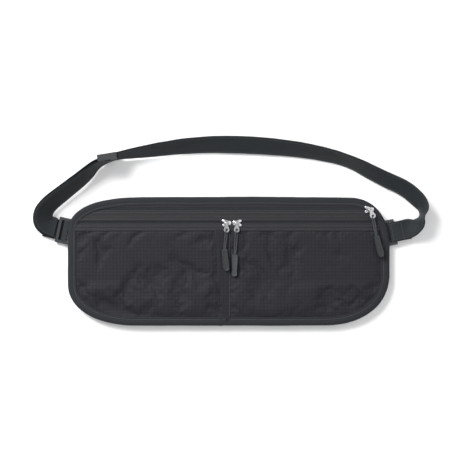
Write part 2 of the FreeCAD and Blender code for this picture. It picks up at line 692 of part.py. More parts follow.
STAND_START = 2
LIFT_START = 11
STAND_END = 15
GAP_SHARE = 0.004
main_start = along(STRAP_ROUTE[1], STRAP_ROUTE[STAND_START], 0.4)
main_end = along(STRAP_ROUTE[LIFT_START - 1], STRAP_ROUTE[LIFT_START], 0.5)
lift_start = along(STRAP_ROUTE[LIFT_START - 1], STRAP_ROUTE[LIFT_START], 0.5 + GAP_SHARE)
lift_end = along(STRAP_ROUTE[STAND_END], STRAP_ROUTE[STAND_END + 1], 0.75)
main_points = [main_start] + STRAP_ROUTE[STAND_START:LIFT_START] + [main_end]
lift_points = [lift_start] + STRAP_ROUTE[LIFT_START:STAND_END + 1] + [lift_end]
standing_band("strap_main", main_points, 0, size("strap_rest"))
standing_band("strap_adjuster", lift_points, 0, size("strap_low"))

# the tri-glide rides on the straight run before the strap bends down to the buckle
GLIDE_SHARE = 0.81
GLIDE_CENTRE = along(STRAP_ROUTE[LIFT_START], STRAP_ROUTE[LIFT_START + 1], GLIDE_SHARE)
GLIDE_ANGLE = math.degrees(math.atan2(STRAP_ROUTE[LIFT_START][1] - STRAP_ROUTE[LIFT_START + 1][1],
                                      STRAP_ROUTE[LIFT_START][0] - STRAP_ROUTE[LIFT_START + 1][0]))

glide_z = ("glide_low", "glide_high")
glide_windows_z = ("glide_low + glide_rail", "glide_high - glide_rail")
glide_blank = span_box("glide_blank", across("glide_end"), ("-glide_core_far", "glide_far"), glide_z)
glide_middle = span_box("glide_middle", across("glide_end + 1"), ("-glide_core_near", "glide_near"),
                        glide_windows_z)
glide_front = span_box("glide_front", across("glide_slot"), ("glide_near", "glide_far + 1"),
                       glide_windows_z)
glide_back = [
    span_box("glide_back_left", ("-glide_end - 1", "-glide_core"),
             ("-glide_core_far - 1", "-glide_core_near"), glide_windows_z),
    span_box("glide_back_right", ("glide_core", "glide_end + 1"),
             ("-glide_core_far - 1", "-glide_core_near"), glide_windows_z),
]
glide_spaces = group("glide_spaces", [glide_middle, glide_front] + glide_back)
placed(finished(cut("glide_frame", glide_blank, glide_spaces), "tri_glide"), GLIDE_CENTRE, GLIDE_ANGLE)

# the webbing's sewn end goes round the middle bar of the tri-glide
web_z = ("strap_low + sewn_margin", "strap_low + web_width - sewn_margin")
sewn_outside = span_box("sewn_outside", across("glide_core + sewn_cloth"),
                        ("-glide_core_far - sewn_cloth", "-glide_core_near + sewn_cloth"), web_z)
sewn_inside = span_box("sewn_inside", across("glide_core + loop_gap"),
                       ("-glide_core_far - loop_gap", "-glide_core_near + loop_gap"),
                       ("strap_low - 1", "strap_low + web_width + 1"))
sewn_tail = span_box("sewn_tail", ("-glide_slot - 0.3", "-glide_core - 0.5"),
                     ("-glide_core_far + 0.3", "-glide_core_near - 0.3"), web_z)
sewn_loop = fuse("sewn_whole", [cut("sewn_ring", sewn_outside, sewn_inside), sewn_tail])
placed(finished(sewn_loop, "strap_sewn_loop"), GLIDE_CENTRE, GLIDE_ANGLE)

# the returning layer lies beside the strap from the buckle up to the tri-glide
RETURN_SHIFT = 2.65
TRIM_REACH = 400.0
trim = Part.makeBox(TRIM_REACH, TRIM_REACH, TRIM_REACH,
                    FreeCAD.Vector(-size("glide_slot") - 0.6, -TRIM_REACH / 2, -TRIM_REACH / 2))
trim.Placement = FreeCAD.Placement(FreeCAD.Vector(*GLIDE_CENTRE, 0),
                                   FreeCAD.Rotation(FreeCAD.Vector(0, 0, 1), GLIDE_ANGLE))
standing_band("strap_return", lift_points, RETURN_SHIFT, size("strap_low"), trim)

# flat ends: one wraps the middle bar of the buckle, the other the outer bar of the ring
left_wrap = web_wrap("left_end", across("buckle_core + loop_gap"), "tab_half",
                     ("frame_low - 0.05", "frame_high + loop_gap"), "web_thick")
left_flat = span_box("left_end_flat", ("-left_flat_end", "-buckle_core - stitched_lap"), across("tab_half"),
                     ("ground + skin_gap", "frame_low - skin_gap"))
placed(finished(fuse("left_end_whole", [left_wrap, left_flat]), "strap_end_left"),
       BUCKLE_CENTRE, BUCKLE_ANGLE)
right_wrap = web_wrap("right_end", ("ring_window - loop_gap", "ring_end + loop_gap"), "tab_half",
                      ("frame_low - loop_gap", "frame_high + loop_gap"), "web_thick")
right_flat = span_box("right_end_flat", ("ring_end + stitched_lap", "right_flat_end"), across("tab_half"),
                      ("frame_low - 0.9", "frame_low + 0.9"))
flat_clear = span_box("right_end_bar", ("ring_window - loop_gap", "ring_end + loop_gap"),
                      across("tab_half + 1"), ("frame_low - loop_gap", "frame_high + loop_gap"))
right_end = cut("right_end_cut", fuse("right_end_whole", [right_wrap, right_flat]), flat_clear)
placed(finished(right_end, "strap_end_right"), RING_CENTRE, RING_ANGLE)

# ---------------------------------------------------------------- checks and export
doc.recompute()
for obj in doc.Objects:
    if "Invalid" in obj.State or "Error" in obj.State:
        raise RuntimeError(f"{obj.Name} failed: {obj.State}")
for obj in PARTS:
    if obj.Shape.isNull() or not obj.Shape.isValid() or obj.Shape.Volume <= 0:
        raise RuntimeError(f"{obj.Label} has no valid shape")
os.makedirs("parts", exist_ok=True)
for obj in PARTS:
    obj.Shape.exportStep(f"parts/{obj.Label}.step")
    bounds = obj.Shape.BoundBox
    print(f"{obj.Label:22s} solids {len(obj.Shape.Solids)}  volume {obj.Shape.Volume:8.1f}"
          f"  z {bounds.ZMin:6.2f} to {bounds.ZMax:6.2f}")
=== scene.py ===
import math
import bmesh
import bpy
import numpy as np
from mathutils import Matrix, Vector, noise


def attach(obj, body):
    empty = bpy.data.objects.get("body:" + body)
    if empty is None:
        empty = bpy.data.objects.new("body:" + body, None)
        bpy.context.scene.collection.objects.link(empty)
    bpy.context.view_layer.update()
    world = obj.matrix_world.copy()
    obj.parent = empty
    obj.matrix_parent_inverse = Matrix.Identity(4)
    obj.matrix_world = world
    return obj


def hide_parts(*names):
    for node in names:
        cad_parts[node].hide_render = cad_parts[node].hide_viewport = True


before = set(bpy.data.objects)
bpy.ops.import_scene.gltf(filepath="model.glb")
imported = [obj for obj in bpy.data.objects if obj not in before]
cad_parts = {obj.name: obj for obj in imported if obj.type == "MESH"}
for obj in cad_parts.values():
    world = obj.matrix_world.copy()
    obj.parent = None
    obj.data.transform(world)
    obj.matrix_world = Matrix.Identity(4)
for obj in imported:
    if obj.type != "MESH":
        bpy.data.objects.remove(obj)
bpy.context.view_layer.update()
MM = 0.001
WEB_HALF = 10.0
WEB_THICK = 1.1


# ---------------------------------------------------------------- mesh helpers
def mesh_object(name, verts, faces, material, body, uvs=None):
    """A piece from points in millimetres; uvs is one (u, v) pair in millimetres for each vertex."""
    mesh = bpy.data.meshes.new(name)
    mesh.from_pydata([(x * MM, y * MM, z * MM) for x, y, z in verts], [], faces)
    mesh.validate()
    mesh.polygons.foreach_set("use_smooth", [True] * len(mesh.polygons))
    if uvs is not None:
        layer = mesh.uv_layers.new(name="UVMap")
        for loop in mesh.loops:
            u, v = uvs[loop.vertex_index]
            layer.data[loop.index].uv = (u * MM, v * MM)
    mesh.materials.append(material)
    obj = bpy.data.objects.new(name, mesh)
    bpy.context.scene.collection.objects.link(obj)
    if body:
        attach(obj, body)
    return obj


def ring_walls(rings, sides, start=0):
    """The faces between each closed ring of points and the next; start is the first point's number."""
    faces = []
    for index in range(rings - 1):
        here, there = start + index * sides, start + (index + 1) * sides
        for corner in range(sides):
            following = (corner + 1) % sides
            faces.append((here + corner, here + following, there + following, there + corner))
    return faces


def end_caps(rings, sides):
    """The faces that close the first and the last ring."""
    last = range((rings - 1) * sides, rings * sides)
    return [tuple(range(sides)), tuple(reversed(last))]


def smooth_step(value):
    """0 to 1 with soft ends."""
    value = np.clip(value, 0.0, 1.0)
    return value * value * (3.0 - 2.0 * value)


def fractal(x, y, scale, seed):
    """Smooth seeded noise of about -1 to 1 at a point in millimetres."""
    return noise.fractal(Vector((x / scale, y / scale, seed * 17.3)), 0.8, 2.1, 3)


def add_thickness(obj, thickness, side=-1.0):
    """Gives a sheet its real thickness, downwards or, with side 1, upwards."""
    solid = obj.modifiers.new("thickness", "SOLIDIFY")
    solid.thickness = thickness * MM
    solid.offset = side


# ---------------------------------------------------------------- material helpers
class Shader:
    """Builds one procedural material from short calls."""

    def __init__(self, name, unwrapped=True):
        self.unwrapped = unwrapped
        self.material = bpy.data.materials.new(name)
        self.material.use_nodes = True
        self.tree = self.material.node_tree
        self.surface = self.tree.nodes["Principled BSDF"]

    def node(self, kind, **inputs):
        """A node with its inputs fed."""
        made = self.tree.nodes.new(kind)
        for key, value in inputs.items():
            self.feed(made.inputs[key.replace("_", " ")], value)
        return made

    def feed(self, socket, value):
        """Links a socket to another's output, or sets its value."""
        if isinstance(value, bpy.types.NodeSocket):
            self.tree.links.new(value, socket)
        else:
            socket.default_value = value

    def math(self, operation, first, second=0.0, third=0.0):
        made = self.tree.nodes.new("ShaderNodeMath")
        made.operation = operation
        for socket, value in zip(made.inputs, (first, second, third)):
            self.feed(socket, value)
        return made.outputs[0]

    def uv(self):
        """Two directions in millimetres: U and V, or X and Y on a piece that isn't unwrapped."""
        coordinate = self.tree.nodes.new("ShaderNodeTexCoord")
        split = self.tree.nodes.new("ShaderNodeSeparateXYZ")
        self.tree.links.new(coordinate.outputs["UV" if self.unwrapped else "Object"], split.inputs[0])
        return (self.math("MULTIPLY", split.outputs[0], 1000.0),
                self.math("MULTIPLY", split.outputs[1], 1000.0))

    def place(self):
        """The object's own coordinates in metres."""
        return self.tree.nodes.new("ShaderNodeTexCoord").outputs["Object"]

    def cloud(self, scale, detail=3.0):
        """Noise of 0 to 1; scale is in cycles per metre."""
        made = self.node("ShaderNodeTexNoise", Scale=scale, Detail=detail, Roughness=0.6)
        self.tree.links.new(self.place(), made.inputs["Vector"])
        return made.outputs["Fac"]

    def wave(self, value, pitch):
        """0 to 1 and back once in every pitch."""
        turn = self.math("MULTIPLY_ADD", value, 2.0 * math.pi / pitch, 0.0)
        return self.math("MULTIPLY_ADD", self.math("SINE", turn), 0.5, 0.5)

    def line(self, value, pitch, width):
        """1 on thin lines that repeat at a pitch, 0 between them."""
        offset = self.math("PINGPONG", value, pitch / 2.0)
        return self.math("SMOOTH_MIN", 1.0, self.math("MAXIMUM", 0.0, self.math(
            "MULTIPLY_ADD", offset, -2.0 / width, 1.6)), 0.2)

    def mix(self, factor, first, second):
        made = self.tree.nodes.new("ShaderNodeMix")
        made.data_type = "RGBA"
        self.feed(made.inputs["Factor"], factor)
        self.feed(made.inputs["A"], first)
        self.feed(made.inputs["B"], second)
        return made.outputs["Result"]

    def finish(self, colour, roughness, height, depth, **surface):
        """Colour, roughness, and a bump of a depth in metres; the rest are constants."""
        self.feed(self.surface.inputs["Base Color"], colour)
        self.feed(self.surface.inputs["Roughness"], roughness)
        bump = self.node("ShaderNodeBump", Height=height, Distance=depth, Strength=1.0)
        self.tree.links.new(bump.outputs[0], self.surface.inputs["Normal"])
        for key, value in surface.items():
            self.surface.inputs[key.replace("_", " ")].default_value = value
        return self.material


def grey(red, green, blue):
    """A linear colour from 0-255 display values."""
    return tuple(((c / 255.0 + 0.055) / 1.055) ** 2.4 for c in (red, green, blue)) + (1.0,)


def tint(colour, factor):
    """A darker or lighter version of a colour."""
    return [c * factor for c in colour[:3]] + [1.0]


# ---------------------------------------------------------------- materials
def ripstop(name, colour, grid_depth=0.5):
    """Thin coated nylon: a fine plain weave with a raised square grid of heavier threads."""
    made = Shader(name)
    u, v = made.uv()
    grid = made.math("MAXIMUM", made.line(u, 3.4, 0.75), made.line(v, 3.4, 0.75))
    weave = made.math("MULTIPLY", made.wave(u, 0.42), made.wave(v, 0.42))
    cloud = made.cloud(45.0)
    grain = made.cloud(1500.0, 2.0)
    base = made.mix(cloud, tint(colour, 0.86), tint(colour, 1.12))
    worn = made.mix(made.math("MULTIPLY", grain, 0.35), base, tint(colour, 1.7))
    lined = made.mix(made.math("MULTIPLY", grid, 0.55), worn, tint(colour, 0.55))
    height = made.math("ADD", made.math("MULTIPLY", grid, grid_depth),
                       made.math("MULTIPLY", weave, 0.35))
    roughness = made.math("MULTIPLY_ADD", cloud, 0.2, 0.5)
    return made.finish(lined, roughness, height, 0.00016, Sheen_Weight=0.05, Sheen_Roughness=0.45,
                       Specular_IOR_Level=0.22)


def grosgrain(name, colour, pitch=0.9, unwrapped=True):
    """Folded tape with fine ribs across its length, and painted shade in the troughs between them."""
    made = Shader(name, unwrapped)
    u, v = made.uv()
    ribs = made.wave(u, pitch)
    threads = made.wave(v, 0.45)
    cloud = made.cloud(60.0)
    grain = made.cloud(1800.0, 2.0)
    base = made.mix(cloud, tint(colour, 0.88), tint(colour, 1.12))
    worn = made.mix(made.math("MULTIPLY", grain, 0.3), base, tint(colour, 1.6))
    # painted shade: the colour darkens in the troughs between the ribs
    shade = made.mix(made.math("MULTIPLY", ribs, 0.35), tint(colour, 0.6), worn)
    final = made.mix(0.65, shade, worn)
    height = made.math("ADD", ribs, made.math("MULTIPLY", threads, 0.4))
    roughness = made.math("MULTIPLY_ADD", cloud, 0.2, 0.55)
    return made.finish(final, roughness, height, 0.00012, Sheen_Weight=0.06, Sheen_Roughness=0.4,
                       Specular_IOR_Level=0.22)


def webbing_material(name, colour):
    """Nylon webbing: ribs along it, crossed by a tight weft, with a selvage rib near each edge; painted
    shade between the weft threads and along both edges, and a painted highlight on the selvage ribs.
    """
    made = Shader(name)
    u, v = made.uv()
    ribs = made.wave(v, 1.25)
    weft = made.wave(made.math("ADD", u, made.math("MULTIPLY", ribs, 0.3)), 0.85)
    edge = made.math("SUBTRACT", WEB_HALF, made.math("ABSOLUTE", v))
    selvage = made.math("COMPARE", edge, 2.0, 0.45)
    rim = made.math("LESS_THAN", edge, 0.9)
    cloud = made.cloud(40.0)
    grain = made.cloud(1600.0, 2.0)
    base = made.mix(cloud, tint(colour, 0.85), tint(colour, 1.15))
    # painted shade: darker where the weft, also the bump height, is low
    woven_with_painted_light = made.mix(made.math("MULTIPLY", weft, 0.45), tint(colour, 0.6), base)
    woven_with_painted_light = made.mix(made.math("MULTIPLY", grain, 0.3), woven_with_painted_light, tint(colour, 1.6))
    # painted highlight: the selvage ribs are lightened; their rise in the bump further down is real
    woven_with_painted_light = made.mix(made.math("MULTIPLY", selvage, 0.5), woven_with_painted_light, tint(colour, 1.9))
    # painted shade: a dark band along both edges of the webbing, where its section rounds off
    woven_with_painted_light = made.mix(made.math("MULTIPLY", rim, 0.55), woven_with_painted_light, tint(colour, 0.4))
    height = made.math("ADD", made.math("MULTIPLY", ribs, 0.6), made.math("MULTIPLY", weft, 0.6))
    height = made.math("ADD", height, made.math("MULTIPLY", selvage, 0.8))
    roughness = made.math("MULTIPLY_ADD", cloud, 0.2, 0.5)
    return made.finish(woven_with_painted_light, roughness, height, 0.00018, Sheen_Weight=0.05, Sheen_Roughness=0.4,
                       Specular_IOR_Level=0.22)


def moulded(name, colour, roughness_low, texture_scale, depth, **surface):
    """Moulded plastic or rubber with a fine spark-eroded texture and light handling wear."""
    made = Shader(name)
    grain = made.cloud(texture_scale, 2.0)
    smear = made.cloud(90.0, 4.0)
    base = made.mix(smear, tint(colour, 0.85), tint(colour, 1.2))
    roughness = made.math("MULTIPLY_ADD", smear, 0.18, roughness_low)
    return made.finish(base, roughness, grain, depth, **surface)


def die_cast(name):
    """Nickel-plated zinc with soft tumbling marks."""
    made = Shader(name)
    marks = made.cloud(900.0, 4.0)
    smear = made.cloud(220.0, 3.0)
    colour = made.mix(smear, grey(176, 176, 178), grey(226, 226, 228))
    roughness = made.math("MULTIPLY_ADD", marks, 0.22, 0.2)
    return made.finish(colour, roughness, marks, 0.00003, Metallic=1.0)


def braid(name, colour):
    """Braided cord: two crossing sets of diagonal strands, with painted shade between the strands and a
    painted highlight on their crowns.
    """
    made = Shader(name)
    u, v = made.uv()
    one = made.wave(made.math("ADD", u, v), 0.75)
    two = made.wave(made.math("SUBTRACT", u, v), 0.75)
    strands = made.math("MAXIMUM", one, two)
    cloud = made.cloud(120.0)
    # painted shade in the gaps between strands and painted highlight on their crowns
    shade = made.mix(strands, tint(colour, 0.5), tint(colour, 1.25))
    roughness = made.math("MULTIPLY_ADD", cloud, 0.2, 0.5)
    return made.finish(shade, roughness, strands, 0.00012, Sheen_Weight=0.2)


def pale_floor():
    """A plain pale sweep with a trace of unevenness."""
    made = Shader("floor_pale")
    cloud = made.cloud(3.0)
    colour = made.mix(cloud, (0.93, 0.93, 0.93, 1.0), (0.95, 0.95, 0.95, 1.0))
    return made.finish(colour, 0.85, cloud, 0.00001, Specular_IOR_Level=0.1)


POCKET = ripstop("ripstop_pocket", grey(29, 29, 34), 0.6)
FACING = ripstop("ripstop_strip", grey(36, 36, 40), 0.15)
BACKING = ripstop("ripstop_back", grey(44, 45, 51), 0.35)
LINING = grosgrain("lining_taffeta", grey(32, 33, 38), 0.35)
TAB_TAPE = grosgrain("tab_tape", grey(42, 46, 49), 0.85, unwrapped=False)
BINDING = grosgrain("binding_tape", grey(36, 37, 42))
ZIP_TAPE = grosgrain("zip_tape_twill", grey(44, 45, 50), 0.6)
COIL = moulded("coil_nylon", grey(24, 25, 28), 0.4, 2600.0, 0.00003)
THREAD = braid("stitch_thread", grey(56, 57, 63))
# near-black thread of the bar tacks, also used as painted shade in the needle holes
DARK_THREAD_AND_HOLE_SHADE = braid("tack_thread_and_hole_shade", grey(10, 10, 12))
WEBBING = webbing_material("strap_webbing", grey(37, 41, 44))
PLASTIC = moulded("acetal_plastic", grey(46, 48, 50), 0.24, 2400.0, 0.00003, Coat_Weight=0.4)
RING_PLASTIC = moulded("ring_acetal", grey(33, 36, 39), 0.28, 2400.0, 0.00003, Coat_Weight=0.3)
GRIP = moulded("grip_rubber", grey(28, 32, 34), 0.42, 3000.0, 0.00004)
SLIM_GRIP = moulded("grip_rubber_grey", grey(48, 51, 55), 0.42, 3000.0, 0.00004)
METAL = die_cast("slider_nickel")
CORD = braid("pull_cord_braid", grey(50, 53, 57))
FLOOR = pale_floor()


# ---------------------------------------------------------------- camera, floor and light
CAMERA_AIM = (-0.0044, 0.0362)
CAMERA_HEIGHT = 1.0685
FLOOR_HALF = 1500.0
# each light: where it hangs, the side of its square and its power
LIGHTS = {
    "key_light": ((-0.85, 0.95, 1.1), 0.7, 36.0),
    "fill_light": ((0.95, 0.35, 1.5), 1.4, 8.0),
    "front_light": ((-0.1, -1.2, 1.3), 1.2, 5.5),
}


def set_stage():
    """A camera straight above, soft lights that all aim where it does, and the floor."""
    camera = bpy.data.cameras.new("camera")
    camera.lens = 85.0
    camera.sensor_width = 36.0
    camera_object = bpy.data.objects.new("camera", camera)
    camera_object.location = (CAMERA_AIM[0], CAMERA_AIM[1], CAMERA_HEIGHT)
    bpy.context.scene.collection.objects.link(camera_object)
    bpy.context.scene.camera = camera_object
    signs = ((-1, -1), (1, -1), (1, 1), (-1, 1))
    floor = mesh_object("floor", [(a * FLOOR_HALF, b * FLOOR_HALF, 0) for a, b in signs],
                        [(0, 1, 2, 3)], FLOOR, None)
    for name, (place, side, power) in LIGHTS.items():
        light = bpy.data.lights.new(name, "AREA")
        light.shape = "SQUARE"
        light.size = side
        light.energy = power
        lamp = bpy.data.objects.new(name, light)
        lamp.location = place
        aim = Vector((CAMERA_AIM[0], CAMERA_AIM[1], 0.0)) - Vector(place)
        lamp.rotation_euler = aim.to_track_quat("-Z", "Y").to_euler()
        bpy.context.scene.collection.objects.link(lamp)
    world = bpy.data.worlds.new("studio")
    world.use_nodes = True
    background = world.node_tree.nodes["Background"]
    background.inputs["Color"].default_value = (0.97, 0.98, 1.0, 1.0)
    background.inputs["Strength"].default_value = 0.42
    bpy.context.scene.world = world
    bpy.context.scene.view_settings.view_transform = "Standard"


set_stage()

# ---------------------------------------------------------------- the strap
# control points in the plan, from the ring to the buckle, with the height of the webbing's
# middle and its lean from upright there, in degrees: 0 stands on edge, 90 lies flat, and with
# a minus the upper edge leans out of the loop
STRAP_ROUTE = [
    (158.4, 28.1, 4.9, -89), (163.6, 29.1, 7.0, -88), (170.0, 30.3, 6.6, -87), (179.0, 32.4, 5.0, -82),
    (187.0, 36.4, 8.4, -42), (189.8, 40.0, 10.2, -22), (191.9, 45.2, 10.9, 1), (193.4, 53.0, 10.6, -27),
    (188.2, 61.4, 10.2, -44), (174.6, 73.4, 9.8, -46), (150.6, 83.8, 9.6, -44), (118.6, 101.2, 10.0, -31),
    (70.6, 112.0, 9.2, -46), (10.6, 117.0, 8.0, -58), (-39.4, 115.9, 9.0, -48), (-82.4, 109.7, 10.6, -34),
    (-129.4, 102.1, 13.2, -6), (-144.0, 86.2, 12.0, -32), (-167.8, 67.8, 10.4, -40),
    (-185.4, 53.2, 10.2, -44), (-187.4, 40.0, 6.8, -66), (-180.6, 33.4, 3.4, -86), (-173.4, 32.1, 2.7, -88),
]
# the layer that comes back from the buckle to the tri-glide, on the inner side of the first
RETURN_ROUTE = [
    (-111.0, 102.4, 13.2, -2), (-128.0, 99.4, 13.2, -8), (-142.2, 84.4, 13.2, -32),
    (-166.8, 66.0, 12.0, -40), (-183.8, 52.0, 11.9, -44), (-185.9, 40.6, 8.6, -66), (-179.9, 34.9, 5.2, -86),
    (-174.2, 33.4, 4.1, -88),
]


def spline_points(name, route, divisions):
    """Points in millimetres along the NURBS spline of a route, as the evaluated curve gives them."""
    data = bpy.data.curves.new(name, "CURVE")
    data.dimensions = "3D"
    data.resolution_u = divisions
    spline = data.splines.new("NURBS")
    spline.points.add(len(route) - 1)
    for point, (x, y, z) in zip(spline.points, route):
        point.co = (x * MM, y * MM, z * MM, 1.0)
    spline.order_u = 3
    spline.use_endpoint_u = True
    curve = bpy.data.objects.new(name, data)
    bpy.context.scene.collection.objects.link(curve)
    bpy.context.view_layer.update()
    mesh = bpy.data.meshes.new_from_object(curve)
    points = np.array([v.co for v in mesh.vertices]) / MM
    bpy.data.objects.remove(curve)
    bpy.data.meshes.remove(mesh)
    return points


def lengths_along(points):
    """The distance along a line to each of its points."""
    steps = np.linalg.norm(np.diff(points, axis=0), axis=1)
    return np.concatenate([[0.0], np.cumsum(steps)])


def ribbon(name, points, leans, rumple):
    """Webbing along a line; leans is its lean from upright at each point, in degrees."""
    profile = []
    columns = 13
    for index in range(columns):
        across = -WEB_HALF + 2.0 * WEB_HALF * index / (columns - 1)
        edge = smooth_step((WEB_HALF - abs(across)) / 0.5) * 0.5 + 0.5
        profile.append((across, WEB_THICK / 2.0 * edge))
    section = profile + [(across, -rise) for across, rise in reversed(profile)]
    along = lengths_along(points)
    flat = points.copy()
    flat[:, 2] = 0.0
    forward = np.gradient(flat, axis=0)
    forward /= np.linalg.norm(forward, axis=1)[:, None]
    verts, uvs = [], []
    for index, point in enumerate(points):
        lean = math.radians(leans[index])
        side = np.array([-forward[index][1], forward[index][0], 0.0])
        up = np.array([0.0, 0.0, 1.0])
        width_way = side * math.sin(lean) + up * math.cos(lean)
        face_way = side * math.cos(lean) - up * math.sin(lean)
        for across, rise in section:
            wave = rumple * fractal(along[index], across * 2.0, 22.0, 3.0)
            verts.append(tuple(point + width_way * across + face_way * (rise + wave)))
            uvs.append((along[index], across))
    size = (len(points), len(section))
    return mesh_object(name, verts, ring_walls(*size) + end_caps(*size), WEBBING, "pouch", uvs)


STITCH_PITCH = 2.1
HOLE_RADIUS = 0.62


def stitch_row(name, points, pitch=STITCH_PITCH, length=1.2, radius=0.27, material=None):
    """Short raised stitches along a line of points in millimetres."""
    points = np.array(points, float)
    along = lengths_along(points)
    verts, faces, uvs = [], [], []
    rings = ((-0.5, 0.25), (-0.32, 0.85), (0.0, 1.0), (0.32, 0.85), (0.5, 0.25))
    sides = 6
    for start in np.arange(pitch / 2.0, along[-1], pitch):
        ends = [np.array([np.interp(start + offset, along, points[:, k]) for k in range(3)])
                for offset in (-0.5, 0.5)]
        middle = (ends[0] + ends[1]) / 2.0
        forward = ends[1] - ends[0]
        forward /= np.linalg.norm(forward)
        side = np.cross((0.0, 0.0, 1.0), forward)
        side /= np.linalg.norm(side)
        first = len(verts)
        for place, fat in rings:
            for corner in range(sides):
                turn = 2.0 * math.pi * corner / sides
                spot = (middle + forward * place * length + side * math.cos(turn) * radius * fat
                        + np.array((0.0, 0.0, math.sin(turn) * radius * 0.8 * fat)))
                verts.append(tuple(spot))
                uvs.append((place * length, turn * radius))
        faces.extend(ring_walls(len(rings), sides, first))
    return mesh_object(name, verts, faces, material or THREAD, "pouch", uvs)


def needle_hole_shade(name, points):
    """Painted shade in the needle holes between the stitches of a row, as low dark cones."""
    points = np.array(points, float)
    along = lengths_along(points)
    verts, faces, uvs = [], [], []
    sides = 8
    for start in np.arange(0.0, along[-1], STITCH_PITCH):
        x, y, z = (np.interp(start, along, points[:, k]) for k in range(3))
        first = len(verts)
        for corner in range(sides):
            turn = 2.0 * math.pi * corner / sides
            across, down = HOLE_RADIUS * math.cos(turn), HOLE_RADIUS * math.sin(turn)
            verts.append((x + across, y + down, z - 0.02))
            uvs.append((across, down))
        verts.append((x, y, z + 0.09))
        uvs.append((0.0, 0.0))
        faces.extend((first + c, first + (c + 1) % sides, first + sides) for c in range(sides))
    return mesh_object(name, verts, faces, DARK_THREAD_AND_HOLE_SHADE, "pouch", uvs)


def sewn(name, points):
    """A row of stitches with painted shade in the needle holes between them."""
    stitch_row("stitches_" + name, points)
    needle_hole_shade("hole_shade_" + name, points)


def webbing_line(name, route):
    """The spline of a route of (x, y, z, lean) and the lean at each of its points, off the floor."""
    divisions, floor_gap = 14, 0.9
    points = spline_points(name, [p[:3] for p in route], divisions)
    leans = spline_points(name + "_lean", [(p[0], p[1], p[3]) for p in route], divisions)[:, 2]
    resting = WEB_HALF * np.cos(np.radians(leans)) + floor_gap
    points[:, 2] = np.maximum(points[:, 2], resting)
    return points, leans


def make_strap():
    """The whole strap from the ring to the buckle, and the line and leans it follows."""
    points, leans = webbing_line("strap_route", STRAP_ROUTE)
    strap = ribbon("strap_webbing", points, leans, 0.35)
    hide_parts("strap_main", "strap_adjuster")
    [tuple(p * MM) for p in points]
    return points, leans


# how far along the strap its two rows of end stitches are, and half their length
END_ROWS = (4.6, 15.5)
END_ROW_HALF = 8.8


def make_end_stitching(points, leans):
    """Two rows of stitches that hold the strap's end back on itself beside the ring."""
    for number, reach in enumerate(END_ROWS):
        index = int(np.argmin(np.abs(lengths_along(points) - reach)))
        forward = points[index + 1] - points[index - 1]
        side = np.array((-forward[1], forward[0], 0.0)) / np.hypot(forward[0], forward[1])
        tilt = math.cos(math.radians(leans[index]))
        line = [points[index] + side * step + (0.0, 0.0, 0.6 - step * tilt)
                for step in np.linspace(-END_ROW_HALF, END_ROW_HALF, 9)]
        sewn(f"strap_end{number}", line)


def make_return():
    """The strap's second layer, from the buckle's bar back to the tri-glide."""
    points, leans = webbing_line("return_route", RETURN_ROUTE)
    layer = ribbon("strap_return_layer", points, leans, 0.2)
    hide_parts("strap_return")
    [tuple(p * MM) for p in points]


# ---------------------------------------------------------------- the outline of the pouch
LEFT_EDGE, RIGHT_EDGE, LOW_EDGE, HIGH_EDGE = -161.2, 159.9, -64.0, 63.2
BINDING_WIDTH = 8.5
FRONT = 8.95
# quarter rounds, each with its corner's signs, its reach along X and along Y and its fullness
CORNERS = ((1, 1, 40.0, 48.0, 2.2), (-1, 1, 75.0, 36.0, 2.55), (-1, -1, 68.0, 42.0, 2.2),
           (1, -1, 66.0, 52.0, 2.2))


# between neighbouring points of the outline
OUTLINE_SPACING = 2.0


def quarter(sign_x, sign_y, reach_x, reach_y, fullness):
    """Points of one rounded corner, anticlockwise round the pouch."""
    corner_x = RIGHT_EDGE if sign_x > 0 else LEFT_EDGE
    corner_y = HIGH_EDGE if sign_y > 0 else LOW_EDGE
    centre = (corner_x - sign_x * reach_x, corner_y - sign_y * reach_y)
    turns = np.linspace(0.0, math.pi / 2.0, 40)
    if sign_x * sign_y < 0:
        turns = turns[::-1]
    roundness = 2.0 / fullness
    return [(centre[0] + sign_x * reach_x * abs(math.cos(t)) ** roundness,
             centre[1] + sign_y * reach_y * abs(math.sin(t)) ** roundness) for t in turns]


def pouch_outline():
    """Evenly spaced points round the pouch, with the slight bow and wander of sewn edges."""
    raw = []
    for corner in CORNERS:
        raw.extend(quarter(*corner))
    raw.append(raw[0])
    raw = np.array(raw)
    along = lengths_along(raw)
    stations = np.linspace(0.0, along[-1], int(along[-1] / OUTLINE_SPACING), endpoint=False)
    points = np.stack([np.interp(stations, along, raw[:, k]) for k in (0, 1)], axis=1)
    bow = 1.0 - (points[:, 0] / RIGHT_EDGE) ** 2
    points[:, 1] += np.where(points[:, 1] > 0.0, 1.1, -0.3) * bow
    wander = np.array([[fractal(x, y, 55.0, 5.0), fractal(x, y, 55.0, 6.0)] for x, y in points])
    return points + 0.35 * wander, stations


OUTLINE, OUTLINE_STATIONS = pouch_outline()


def outward_normals(points):
    """The direction out of the pouch at each point of its outline."""
    tangent = np.roll(points, -1, axis=0) - np.roll(points, 1, axis=0)
    tangent /= np.linalg.norm(tangent, axis=1)[:, None]
    return np.stack([tangent[:, 1], -tangent[:, 0]], axis=1)


NORMALS = outward_normals(OUTLINE)


def depth_inside(x, y):
    """How far inside the outline each point is, negative outside it."""
    x, y = np.atleast_1d(x), np.atleast_1d(y)
    gaps = np.stack([x, y], axis=-1)[:, None, :] - OUTLINE[None, :, :]
    distance = np.linalg.norm(gaps, axis=2)
    nearest = distance.argmin(axis=1)
    rows = np.arange(len(x))
    inward = -(gaps[rows, nearest] * NORMALS[nearest]).sum(axis=1)
    return np.sign(inward) * distance[rows, nearest]


# ---------------------------------------------------------------- sheets
SHEET_INSET = 2.5


